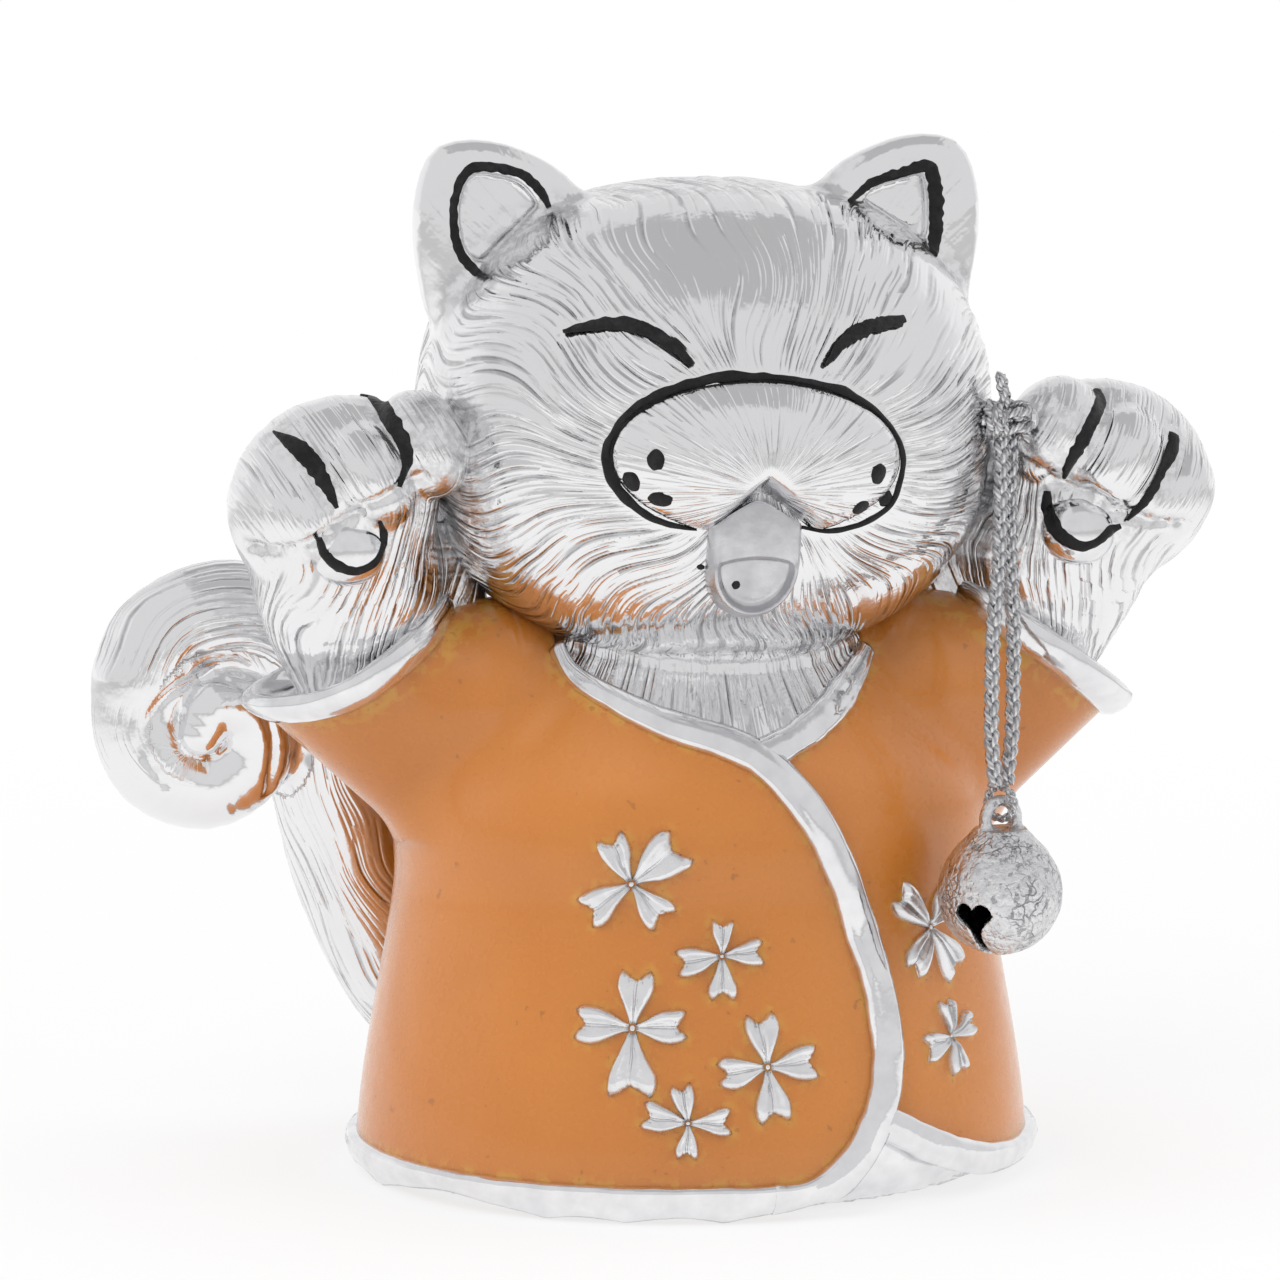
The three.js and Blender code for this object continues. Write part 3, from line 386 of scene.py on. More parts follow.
def coat_form(p):
    d = np.maximum.reduce([coat_skin(p), p[:, 2] - NECK_TOP, HEM_LINE - HEM_TUCK - p[:, 2]])
    for side in SIDES.values():
        along = sleeve_form(p, side)[1]
        mouth = np.maximum(sleeve_form(p, side, CUFF_WALL)[0], -CUFF_DEPTH - along)
        d = np.maximum.reduce([d, along + CUFF_SETBACK - CUFF_LIFT[side] * outer_end(p, side), -mouth])
    edge = np.vstack([HEM_NOTCH, LEFT_HEM])
    hem = np.interp(p[:, 0], edge[:, 0], edge[:, 1])
    gap = np.maximum.reduce([p[:, 2] - hem, p[:, 1] - HEM_GAP_BACK,
                             edge[0, 0] - p[:, 0], p[:, 0] - edge[-1, 0]])
    return np.maximum.reduce([d, -neck_opening(p), -gap])


def core_form(p):
    return np.maximum.reduce([body_form(p, CORE_INSET), p[:, 2] - CORE_TOP, CORE_FOOT - p[:, 2]])


def bib_form(p):
    top = BIB_TOP + BIB_CURVE * p[:, 0] ** 2 - BIB_SLANT * p[:, 0]
    lip = np.hypot(body_form(p, BIB_LIP_INSET), p[:, 2] - top + BIB_LIP_DROP) - BIB_LIP
    plate = np.maximum(body_form(p, BIB_INSET), p[:, 2] - top)
    d = merge(plate, lip, soft=0.8)
    line = np.interp(p[:, 0], NECKLINE[:, 0], NECKLINE[:, 1]) - BIB_TUCK
    return np.maximum.reduce([d, line - p[:, 2], p[:, 1] + 2, -BIB_DEPTH - body_form(p)])


def skull_form(p):
    q = np.sum(np.abs((p - HEAD) / HEAD_SIZE) ** HEAD_POWER, axis=1) ** (1 / HEAD_POWER) + TINY
    return (1 - 1 / q) * np.linalg.norm(p - HEAD, axis=1)


def outline_distance(x, z, corners):
    """Distance to a closed outline, negative inside it."""
    best, inside = np.full(len(x), FAR), np.zeros(len(x), bool)
    for (ax, az), (bx, bz) in zip(corners, np.roll(corners, -1, axis=0)):
        wx, wz = bx - ax, bz - az
        t = np.clip(((x - ax) * wx + (z - az) * wz) / (wx * wx + wz * wz), 0, 1)
        best = np.minimum(best, np.hypot(x - ax - t * wx, z - az - t * wz))
        inside ^= ((az > z) != (bz > z)) & (x < (z - az) * wx / (wz if wz else TINY) + ax)
    return np.where(inside, -best, best)


def ear_corners(side):
    loop = smooth_line(np.vstack([EAR_OUTLINE, EAR_OUTLINE[:1]]), 37)[:-1]
    return np.column_stack([side * loop[:, 0] + EAR_SHIFT, loop[:, 1]])


def ear_inner(rows):
    """Painted line round the hollow of an ear, on the plane of the ear's front: x and z."""
    way = sight(smooth_line(rows, 30)[:, :2])
    return (EYE_POINT + way * ((EAR_FRONT - EYE_POINT[1]) / way[:, 1])[:, None])[:, [0, 2]]


EAR_CORNERS = {side: ear_corners(side) for side in SIDES.values()}
EAR_INNER = {side: ear_inner(EAR_ROWS[word]) for word, side in SIDES.items()}


def ear_form(p, side):
    d = np.full(len(p), CLEAR)
    near = (np.abs(p[:, 0] - side * EAR_SPACE_X[0]) < EAR_SPACE_X[1]) & (p[:, 2] > EAR_SPACE_FOOT) \
        & (np.abs(p[:, 1] - EAR_SPACE_Y[0]) < EAR_SPACE_Y[1])
    if not near.any():
        return d
    q = p[near]
    rim = outline_distance(q[:, 0], q[:, 2], EAR_CORNERS[side])
    front = EAR_FRONT + EAR_TAPER_FRONT[0] * ramp(q[:, 2], *EAR_TAPER_FRONT[1:])
    back = EAR_BACK - EAR_TAPER_BACK[0] * ramp(q[:, 2], *EAR_TAPER_BACK[1:])
    half = (back - front) / 2
    soft = np.minimum(EAR_ROUND, 0.9 * half)
    thick = np.abs(q[:, 1] - (front + back) / 2) - half
    plate = np.minimum(np.maximum(rim, thick) + soft, 0) - soft \
        + np.hypot(np.maximum(rim + soft, 0), np.maximum(thick + soft, 0))
    inner = outline_distance(q[:, 0], q[:, 2], EAR_INNER[side]) + EAR_RIM
    hollow = np.maximum(inner, q[:, 1] - front - EAR_HOLLOW + 0.012 * inner ** 2)
    d[near] = carve(plate, hollow, soft=0.7)
    return d


def head_form(p):
    d = skull_form(p)
    for side in SIDES.values():
        d = merge(d, ear_form(p, side), soft=1.6)
    return d


def muzzle_form(p):
    d = egg(np.column_stack([p[:, 0], skull_form(p), p[:, 2]]), MUZZLE, MUZZLE_SIZE, MUZZLE_TILT)
    apex = LIP_NOTCH[1] - 0.5 * (p[:, 1] - LIP_FRONT)
    aside = np.abs(p[:, 0] - LIP_NOTCH[0])
    cleft = (aside - (apex - p[:, 2]) * math.tan(LIP_SLOPE)) * math.cos(LIP_SLOPE)
    return carve(d, cleft, soft=0.7)


def face_form(p):
    return np.minimum(head_form(p), muzzle_form(p))


def tongue_form(p):
    """Tongue and floor of the mouth, with a raised rim and a step across the middle."""
    x, z = p[:, 0] - TONGUE_MIDDLE[0], p[:, 2]
    drop = np.minimum(z - TONGUE_MIDDLE[1], 0) / TONGUE_DROP
    rim = np.hypot(x / TONGUE_HALF, drop) * TONGUE_HALF - TONGUE_HALF
    step = ramp(z + 0.05 * x * x, TONGUE_STEP, TONGUE_STEP + 0.6)
    lean = 0.16 * (66 - z)
    edge = (TONGUE_RIM - 0.7 * step) * np.exp(-((rim + 0.55) / 0.42) ** 2)
    rise = TONGUE_RISE + lean + step * (TONGUE_SHELF - 0.02 * x * x) + edge
    d = -merge(-rim, -(skull_form(p) - rise), soft=0.7)
    roof = (z - TONGUE_ROOF + 0.65 * np.sqrt(x * x + 0.5)) * 0.84
    return np.maximum.reduce([d, roof, -TONGUE_DEPTH - skull_form(p)])


def side_of(p, side):
    """Points of either side, as if they were on the left."""
    return p * [side, 1, 1]


def paw_middle(side):
    return PAW + np.array([side * PAW_LEAN, 0, 0])


def arm_rows(side):
    middle, way = sleeve_axes(1)
    return smooth_line(np.array([
        [*(middle - (CUFF_DEPTH - 0.3) * way), ARM_RADIUS - 0.7],
        [*(CUFF - [ARM_INWARD, 0, 0]), ARM_RADIUS],
        [*WRIST, WRIST_RADIUS],
        [*(paw_middle(side) + [0, 1, 0]), ARM_RADIUS]]), 14)


def toe_form(p, side, k):
    """One toe of a paw, from the inner (-1) to the outer (1)."""
    across = k * TOE_PITCH * math.cos(PAW_TILT) - TOE_INWARD + 0.7 * side
    up = TOE_UP - k * TOE_PITCH * math.sin(PAW_TILT) - 0.5 * abs(k)
    return egg(p, paw_middle(side) + [across, -TOE_FORWARD + abs(k) * 1.4, up], TOE_SIZE, PAW_TILT)


def arm_form(p, side):
    q = side_of(p, side)
    d = merge(rope(q, arm_rows(side))[0], egg(q, paw_middle(side), PAW_SIZE, PAW_TILT), soft=2.4)
    d = merge(d, rope(q, ARM_WEB)[0], soft=2.0)
    toes = toe_form(q, side, -1)
    for k in (0, 1):
        toes = merge(toes, toe_form(q, side, k), soft=1.1)
    return merge(d, toes, soft=0.7)


def pad_middle(side):
    return PAD * [side, 1, 1] + [PAD_LEAN, 0, 0]


def pad_form(p, side):
    return egg(p, pad_middle(side), PAD_SIZE)


TAIL_LINE = smooth_line(TAIL_ROWS, TAIL_STEPS)


def tail_form(p):
    stem = rope(p, TAIL_LINE[:TAIL_SPLIT + 1])[0]
    tip = rope(p, TAIL_LINE[TAIL_SPLIT - 2:])[0]
    return np.maximum(merge(stem, tip, soft=1.5), -0.2 - body_form(p))


def heart_opening(q):
    """Heart-shaped holes at both ends of the slit under the bell."""
    way = np.array([math.sin(SLIT_TURN), -math.cos(SLIT_TURN)])
    along, across, z = q[:, :2] @ way, np.abs(q[:, :2] @ np.array([-way[1], way[0]])), q[:, 2]
    slot = np.maximum(across - SLIT_HALF, z + 2.2)
    lobes = np.hypot(across - HEART_SPREAD, z - HEART_HEIGHT) - HEART_LOBE
    taper = np.maximum.reduce([(across - 0.38 - 0.85 * (z + 3.0)) * 0.76, z + 1.25, -3.4 - z])
    heart = merge(merge(lobes, taper, soft=0.3), slot, soft=0.5)
    return np.where(np.abs(along) > 1.5, heart, np.where(z < -3, slot, 5.0))


def bell_form(p):
    """Hollow ball under a cone that touches it all round, with a ring on top and hearts below."""
    q = p - BELL
    reach = np.linalg.norm(q, axis=1)
    lean = math.asin(BELL_RADIUS / BELL_PEAK)
    slope = np.hypot(q[:, 0], q[:, 1]) * math.cos(lean) - (BELL_PEAK - q[:, 2]) * math.sin(lean)
    cone = np.maximum.reduce([slope, q[:, 2] - BELL_CROWN, BELL_RADIUS ** 2 / BELL_PEAK - q[:, 2]])
    d = merge(reach - BELL_RADIUS, cone, soft=0.3)
    e = p - BELL_EYE
    out = e @ EYE_WAY
    flat = np.linalg.norm(e - out[:, None] * EYE_WAY, axis=1)
    ring = np.hypot(flat - EYE_RADIUS, out * 0.9) - EYE_WIRE
    d = np.maximum(merge(d, ring, soft=0.8), BELL_RADIUS - BELL_WALL - reach)
    return np.maximum(d, -heart_opening(q))


# Sculpting: a field of distances becomes a skin of even quads that is settled on the shape

def steepness(shape, p, step=0.03):
    g = np.empty_like(p)
    for i in range(3):
        move = np.zeros(3)
        move[i] = step
        g[:, i] = (shape(p + move) - shape(p - move)) / (2 * step)
    return g


def settle(shape, p, rounds=2):
    """Points moved on to the surface of a shape."""
    for _ in range(rounds):
        g = steepness(shape, p)
        size = np.maximum(np.sum(g * g, axis=1), 0.2)
        p = p - g * np.clip(shape(p) / size, -0.4, 0.4)[:, None]
    return p


def facing(shape, p):
    g = steepness(shape, p)
    return g / (np.linalg.norm(g, axis=1)[:, None] + TINY)


def even_out(p, quads, rounds):
    """Points drawn half way towards the middle of their neighbours."""
    pairs = np.vstack([quads[:, [i, (i + 1) % 4]] for i in range(4)])
    pairs = np.vstack([pairs, pairs[:, ::-1]])
    count = np.maximum(np.bincount(pairs[:, 0], minlength=len(p)), 1)
    for _ in range(rounds):
        p = np.column_stack([0.5 * p[:, i] + 0.5 * np.bincount(
            pairs[:, 0], weights=p[pairs[:, 1], i], minlength=len(p)) / count for i in range(3)])
    return p


def sculpt(shape, low, high, cell, rounds=2, slab=6):
    """Skin of a shape inside a box, worked out a slab of cells at a time."""
    low, high = np.asarray(low, float), np.asarray(high, float)
    counts = np.ceil((high - low) / cell).astype(int) + 1
    across = [low[i] + cell * np.arange(counts[i]) for i in range(3)]
    field = np.empty(counts, np.float32)
    sheet = np.stack(np.meshgrid(across[1], across[2], indexing="ij"), axis=-1).reshape(-1, 2)
    for i in range(0, counts[0], slab):
        some = across[0][i:i + slab]
        p = np.column_stack([np.repeat(some, len(sheet)), np.tile(sheet, (len(some), 1))])
        field[i:i + slab] = shape(p).reshape(len(some), counts[1], counts[2])
    grid = vdb.FloatGrid(float(10 * cell))
    grid.copyFromArray(np.clip(field, -3 * cell, 3 * cell))
    points, quads = grid.convertToQuads(isovalue=0.0)
    points, quads = low + cell * np.asarray(points, float), np.asarray(quads, np.int64)
    points = settle(shape, even_out(points, quads, rounds))
    some = quads[::max(1, len(quads) // 400)]
    out = np.cross(points[some[:, 2]] - points[some[:, 0]], points[some[:, 3]] - points[some[:, 1]])
    if np.sum(out * steepness(shape, points[some].mean(axis=1))) < 0:
        quads = quads[:, ::-1]
    return points, quads


def wander(coords, seed=0.0):
    return np.array([noise.noise(Vector((x + seed, y, z - seed))) for x, y, z in coords.tolist()])


def beside(points, shape, reach):
    """How close points come to another form: 1 where they touch, 0 from the reach on."""
    return 1 - ramp(shape(points), 0.0, reach)


def nearest(points, line):
    """Distance from points to the nearest point of a line."""
    best = np.full(len(points), FAR)
    for spot in line:
        best = np.minimum(best, np.linalg.norm(points - spot, axis=1))
    return best


def seen(shape, pixels):
    """Points of a shape under pixels of the photograph."""
    way = sight(pixels)
    reach = np.full(len(way), VIEW_REACH - 60.0)
    best, closest = np.full(len(way), FAR), reach.copy()
    for _ in range(90):
        gap = shape(EYE_POINT + way * reach[:, None])
        closer = np.abs(gap) < best
        best[closer], closest[closer] = np.abs(gap)[closer], reach[closer]
        reach = np.minimum(reach + 0.7 * np.clip(gap, -2, 8), VIEW_REACH + 60)
    return settle(shape, EYE_POINT + way * closest[:, None], 6)


# Fur: every vertex knows its place across (x, y) and along (z) the run of the hair

def frame_round(spine):
    """Ways along a spine, and sides that turn with it as little as they can."""
    ways = np.gradient(spine[:, :3], axis=0)
    ways /= np.linalg.norm(ways, axis=1)[:, None]
    side = np.cross(ways[0], [0.3, 0.2, 1.0])
    sides = []
    for way in ways:
        side = side - (side @ way) * way
        side = side / np.linalg.norm(side)
        sides.append(side)
    return ways, np.array(sides)


def fur_along(p, spine, hair, length, twist):
    """Hair that runs along a limb."""
    spot = rope(p, spine * [1, 1, 1, 0])[1]
    ways, sides = frame_round(spine)
    row = np.clip(spot.astype(int), 0, len(spine) - 2)
    t = (spot - row)[:, None]
    centre = spine[row, :3] * (1 - t) + spine[row + 1, :3] * t
    side = sides[row] * (1 - t) + sides[row + 1] * t
    up = np.cross(ways[row], side)
    out = p - centre
    turn = np.arctan2(np.sum(out * up, axis=1), np.sum(out * side, axis=1))
    reach = np.concatenate([[0], np.cumsum(np.linalg.norm(np.diff(spine[:, :3], axis=0), axis=1))])
    reach_here = np.interp(spot, np.arange(len(spine)), reach)
    turn = turn + twist * reach_here + 0.35 * wander(p * 0.11, seed=4.0)
    girth = spine[:, 3].mean() / hair
    return np.column_stack([girth * np.cos(turn), girth * np.sin(turn), reach_here / length])


def fur_from(p, centre, size, axis, strands, length):
    """Hair that radiates from the axis over a rounded form."""
    v = (p - centre) / size
    v /= np.linalg.norm(v, axis=1)[:, None] + TINY
    v[:, 2] += 0.9 * ramp(v[:, 1], 0.0, 0.9)
    v /= np.linalg.norm(v, axis=1)[:, None] + TINY
    axis = np.array(axis) / np.linalg.norm(axis)
    side = np.cross(axis, [0, 0, 1.0])
    side /= np.linalg.norm(side)
    up = np.cross(side, axis)
    away = np.arccos(np.clip(v @ axis, -1, 1))
    turn = np.arctan2(v @ up, v @ side)
    turn = turn + 0.2 * wander(np.column_stack([1.6 * np.cos(turn), 1.6 * np.sin(turn), 2.2 * away]), 6.0)
    return np.column_stack([strands * np.cos(turn), strands * np.sin(turn), away * np.mean(size) / length])


def comb(p, way, fur, depth):
    """Waves of fur pressed into the skin along the hair."""
    wide = wander(fur * [0.5, 0.5, 0.6], seed=3.1)
    fine = 1 - 2 * np.abs(wander(fur * [1.2, 1.2, 0.55], seed=7.7))
    return p + way * (depth * (0.4 * wide + 0.5 * (fine - 0.6)))[:, None]


# Node helpers

def wire(tree, value, socket):
    if isinstance(value, bpy.types.NodeSocket):
        tree.links.new(value, socket)
    elif value is not None:
        socket.default_value = value


def place(tree, kind, inputs=None, **settings):
    made = tree.nodes.new(kind)
    for key, value in settings.items():
        setattr(made, key, value)
    for key, value in (inputs or {}).items():
        wire(tree, value, made.inputs[key])
    return made


def maths(tree, operation, a, b=None, clamp=False):
    made = place(tree, "ShaderNodeMath", {0: a}, operation=operation, use_clamp=clamp)
    wire(tree, b, made.inputs[1])
    return made.outputs[0]


def times(tree, a, b):
    return maths(tree, "MULTIPLY", a, b)


def plus(tree, a, b):
    return maths(tree, "ADD", a, b)


def vectors(tree, operation, a, b=None):
    made = place(tree, "ShaderNodeVectorMath", {0: a}, operation=operation)
    wire(tree, b, made.inputs["Scale" if operation == "SCALE" else 1])
    return made.outputs[0]


def between(tree, value, low, high, to_low=0.0, to_high=1.0):
    inputs = {"Value": value, "From Min": low, "From Max": high, "To Min": to_low, "To Max": to_high}
    return place(tree, "ShaderNodeMapRange", inputs, interpolation_type="SMOOTHSTEP").outputs[0]


def mixed(tree, share, a, b):
    return place(tree, "ShaderNodeMix", {"Factor": share, 6: a, 7: b}, data_type="RGBA").outputs[2]


def parts_of(tree, vector):
    return place(tree, "ShaderNodeSeparateXYZ", {0: vector}).outputs


def marked(tree, label, output="Fac"):
    """Values that a piece carries on its points."""
    return place(tree, "ShaderNodeAttribute", attribute_name=label).outputs[output]


# Effects that several finishes share

def effect(name, inputs, output):
    """Node group that reads a vector and some named values and puts out one value."""
    tree = bpy.data.node_groups.new(name, "ShaderNodeTree")
    tree.interface.new_socket("Vector", in_out="INPUT", socket_type="NodeSocketVector")
    for label, value in inputs.items():
        socket = tree.interface.new_socket(label, in_out="INPUT", socket_type="NodeSocketFloat")
        socket.default_value = value
    tree.interface.new_socket(output, in_out="OUTPUT", socket_type="NodeSocketFloat")
    return tree, tree.nodes.new("NodeGroupInput").outputs, tree.nodes.new("NodeGroupOutput").inputs


def mottle_effect():
    """Soft clouds round a half."""
    tree, given, out = effect("soft_mottle", {"Scale": 100.0, "Contrast": 0.5}, "Value")
    cloud = place(tree, "ShaderNodeTexNoise", {"Vector": given["Vector"], "Scale": given["Scale"],
                                               "Detail": 3.0, "Roughness": 0.55})
    half = times(tree, given["Contrast"], 0.5)
    low, high = maths(tree, "SUBTRACT", 0.5, half), plus(tree, 0.5, half)
    span = place(tree, "ShaderNodeMapRange", {"Value": cloud.outputs["Fac"], "From Min": 0.28,
                                              "From Max": 0.72, "To Min": low, "To Max": high})
    wire(tree, span.outputs[0], out["Value"])
    return tree


def hair_effect():
    """Engraved hair lines: each cell of a stretched field holds one tapered stroke."""
    tree, given, out = effect("hair_lines", {"Width": 0.2, "Length": 0.5, "Sway": 1.0}, "Depth")
    bend = place(tree, "ShaderNodeTexNoise", {"Vector": given["Vector"], "Scale": 0.32, "Detail": 1.5})
    flat = vectors(tree, "MULTIPLY", bend.outputs["Color"], (1.0, 1.0, 0.0))
    spot = vectors(tree, "ADD", given["Vector"], vectors(tree, "SCALE", flat, given["Sway"]))
    cells = place(tree, "ShaderNodeTexVoronoi", {"Vector": spot, "Scale": 1.0, "Randomness": 1.0},
                  feature="F1")
    off = vectors(tree, "SUBTRACT", spot, cells.outputs["Position"])
    ray = vectors(tree, "NORMALIZE", vectors(tree, "MULTIPLY", spot, (1.0, 1.0, 0.0)))
    turn = vectors(tree, "CROSS_PRODUCT", ray, off)
    across = maths(tree, "ABSOLUTE", parts_of(tree, turn)[2])
    along = maths(tree, "ABSOLUTE", parts_of(tree, off)[2])
    near = maths(tree, "DIVIDE", across, given["Width"])
    far = maths(tree, "DIVIDE", along, given["Length"])
    line = times(tree, between(tree, near, 1.0, 0.0), between(tree, far, 1.0, 0.2))
    chance = place(tree, "ShaderNodeSeparateColor", {0: cells.outputs["Color"]}).outputs[0]
    wire(tree, times(tree, line, between(tree, chance, 0.1, 0.9, 0.25, 1.0)), out["Depth"])
    return tree


MOTTLE, HAIR = mottle_effect(), hair_effect()


def use(tree, group, inputs):
    made = tree.nodes.new("ShaderNodeGroup")
    made.node_tree = group
    for key, value in inputs.items():
        wire(tree, value, made.inputs[key])
    return made.outputs[0]


def mottled(tree, spot, scale):
    return use(tree, MOTTLE, {"Vector": spot, "Scale": scale, "Contrast": 1.0})


# Finishes

def finish(name, **sockets):
    made = bpy.data.materials.new(name)
    made.use_nodes = True
    tree = made.node_tree
    shader = tree.nodes["Principled BSDF"]
    for key, value in sockets.items():
        shader.inputs[key.replace("_", " ")].default_value = value
    spot = tree.nodes.new("ShaderNodeTexCoord").outputs["Object"]
    return made, tree, shader.inputs, spot


def shade(code):
    """A colour written as in an image editor, for the shader."""
    part = [int(code[i:i + 2], 16) / 255 for i in (0, 2, 4)]
    return (*[c / 12.92 if c <= 0.04045 else ((c + 0.055) / 1.055) ** 2.4 for c in part], 1.0)


def tinted(tree, share, a, b):
    return mixed(tree, share, shade(a), shade(b))


def bump(tree, shader, height, distance):
    made = place(tree, "ShaderNodeBump", {"Height": height, "Distance": distance, "Strength": 1.0})
    wire(tree, made.outputs[0], shader["Normal"])


def plating_plain(name, least, most, wave, fleck, bright="f2f2f3", dull="e4e4e6"):
    made, tree, shader, spot = finish(name, Metallic=1.0)
    cloud, dapple = mottled(tree, spot, 90.0), mottled(tree, spot, 420.0)
    wire(tree, tinted(tree, dapple, bright, dull), shader["Base Color"])
    wire(tree, between(tree, dapple, 0.0, 1.0, least, most), shader["Roughness"])
    bump(tree, shader, plus(tree, times(tree, cloud, wave), times(tree, dapple, fleck)), distance=0.0001)
    return made


def plating_fur():
    made, tree, shader, spot = finish("plated_fur", Metallic=1.0)
    fur = marked(tree, "fur", "Vector")
    thick, nook = marked(tree, "thick"), marked(tree, "nook")
    close = vectors(tree, "MULTIPLY", fur, (1.35, 1.35, 0.95))
    broad = use(tree, HAIR, {"Vector": close, "Width": 0.24, "Length": 0.7, "Sway": 1.3})
    closer = vectors(tree, "MULTIPLY", fur, (2.5, 2.5, 1.3))
    thin = use(tree, HAIR, {"Vector": closer, "Width": 0.26, "Length": 0.6, "Sway": 1.3})
    lines = times(tree, plus(tree, broad, times(tree, thin, 0.6)), thick)
    dapple, grain = mottled(tree, spot, 350.0), mottled(tree, spot, 900.0)
    # Painted shade: the nook mask, broken up by fine grain, darkens the plating where parts meet
    nook_shade = times(tree, nook, between(tree, grain, 0.3, 0.75))
    # Darker tone in the engraved lines is patina; the painted shade of the nooks is joined to it below
    grime_and_shade = times(tree, between(tree, lines, 0.1, 0.85, 0.0, 0.6), between(tree, dapple, 0.0, 0.8, 0.45, 1.0))
    grime_and_shade = maths(tree, "MAXIMUM", grime_and_shade, times(tree, nook_shade, 0.4))
    wire(tree, tinted(tree, grime_and_shade, "f0f0f1", "7c7c80"), shader["Base Color"])
    polish = between(tree, dapple, 0.0, 1.0, 0.07, 0.15)
    wire(tree, plus(tree, polish, times(tree, nook, 0.2)), shader["Roughness"])
    rough = times(tree, times(tree, grain, nook), 0.35)
    height = maths(tree, "SUBTRACT", plus(tree, times(tree, dapple, 0.25), rough), lines)
    bump(tree, shader, height, distance=0.00017)
    return made


def enamel():
    made, tree, shader, spot = finish("orange_enamel", IOR=1.5, Coat_Weight=0.6, Coat_Roughness=0.1)
    cloud, speck = mottled(tree, spot, 45.0), mottled(tree, spot, 700.0)
    base = tinted(tree, cloud, "bf7227", "c87b2b")
    thin = times(tree, marked(tree, "rim"), between(tree, speck, 0.35, 0.75))
    base = mixed(tree, times(tree, thin, 0.7), base, shade("cc973a"))
    dust = times(tree, between(tree, speck, 0.93, 1.0), 0.45)
    wire(tree, mixed(tree, dust, base, shade("7d4a22")), shader["Base Color"])
    wire(tree, between(tree, speck, 0.0, 1.0, 0.22, 0.34), shader["Roughness"])
    bump(tree, shader, plus(tree, times(tree, cloud, 1.2), times(tree, speck, 0.05)), distance=0.00012)
    return made


def brush_paint():
    made, tree, shader, spot = finish("black_brush_paint", IOR=1.36)
    drag, cloud = mottled(tree, spot, 1500.0), mottled(tree, spot, 420.0)
    wire(tree, tinted(tree, times(tree, drag, cloud), "0a0a0b", "2b2b2d"), shader["Base Color"])
    wire(tree, between(tree, cloud, 0.0, 1.0, 0.3, 0.55), shader["Roughness"])
    bump(tree, shader, drag, distance=0.00006)
    return made


def antique_bell():
    made, tree, shader, spot = finish("antique_bell_plating", Metallic=1.0)
    cloud, fine = mottled(tree, spot, 260.0), mottled(tree, spot, 1100.0)
    bent = place(tree, "ShaderNodeTexNoise", {"Vector": spot, "Scale": 420.0, "Detail": 3.0})
    push = vectors(tree, "MULTIPLY", bent.outputs["Color"], (0.004,) * 3)
    crack = place(tree, "ShaderNodeTexVoronoi", {"Vector": vectors(tree, "ADD", spot, push), "Scale": 760.0},
                  feature="DISTANCE_TO_EDGE")
    cut = between(tree, crack.outputs["Distance"], 0.1, 0.0)
    cut = times(tree, times(tree, cut, between(tree, cloud, 0.3, 0.85)), 0.6)
    tone = tinted(tree, fine, "f2f2f3", "d8d8da")
    tone = mixed(tree, between(tree, fine, 0.36, 0.12, 0.0, 0.6), tone, shade("707074"))
    tone = mixed(tree, cut, tone, shade("5a5a5f"))
    # Painted shade: the inner wall of the bell is painted near black
    wire(tree, mixed(tree, marked(tree, "inside"), tone, shade("0c0c0d")), shader["Base Color"])
    wire(tree, between(tree, fine, 0.0, 1.0, 0.26, 0.46), shader["Roughness"])
    bump(tree, shader, maths(tree, "SUBTRACT", fine, cut), distance=0.00022)
    return made


def metal_thread():
    made, tree, shader, spot = finish("metallic_thread", Metallic=1.0)
    ply = place(tree, "ShaderNodeTexWave", {"Vector": marked(tree, "yarn", "Vector"), "Scale": 1.0,
                                            "Distortion": 0.6, "Detail": 1.0},
                wave_type="BANDS", bands_direction="DIAGONAL").outputs["Fac"]
    cloud = mottled(tree, spot, 1200.0)
    tone = tinted(tree, ply, "b4b4b7", "f6f6f7")
    wire(tree, mixed(tree, times(tree, cloud, 0.35), tone, shade("9a9a9e")), shader["Base Color"])
    wire(tree, between(tree, cloud, 0.0, 1.0, 0.2, 0.4), shader["Roughness"])
    bump(tree, shader, plus(tree, ply, cloud), distance=0.00006)
    return made


def cast_resin():
    made, tree, shader, spot = finish("cast_resin")
    cloud = mottled(tree, spot, 300.0)
    wire(tree, tinted(tree, cloud, "d8d1c3", "c9c1b1"), shader["Base Color"])
    wire(tree, between(tree, cloud, 0.0, 1.0, 0.5, 0.7), shader["Roughness"])
    bump(tree, shader, cloud, distance=0.00008)
    return made


def dark_felt():
    made, tree, shader, spot = finish("dark_felt", Roughness=0.95, Sheen_Weight=0.3, Sheen_Roughness=0.6)
    fibre, cloud = mottled(tree, spot, 2600.0), mottled(tree, spot, 320.0)
    wire(tree, tinted(tree, times(tree, fibre, cloud), "232326", "4a4a4f"), shader["Base Color"])
    bump(tree, shader, fibre, distance=0.00012)
    return made


PLATING = plating_plain("bright_plating", 0.08, 0.16, 1.0, 0.25)
WORN = plating_plain("worn_plating", 0.2, 0.34, 0.0, 0.7)
# Plating of the tongue, painted darker and greyer than the bright plating as the shade inside the mouth; it
# is also rougher
MOUTH_SHADE_PLATING = plating_plain("mouth_shade_plating", 0.25, 0.4, 0.3, 0.5, "d8d8da", "c2c2c6")
FUR, ENAMEL, PAINT = plating_fur(), enamel(), brush_paint()
ANTIQUE, THREAD, RESIN, FELT = antique_bell(), metal_thread(), cast_resin(), dark_felt()


# Pieces

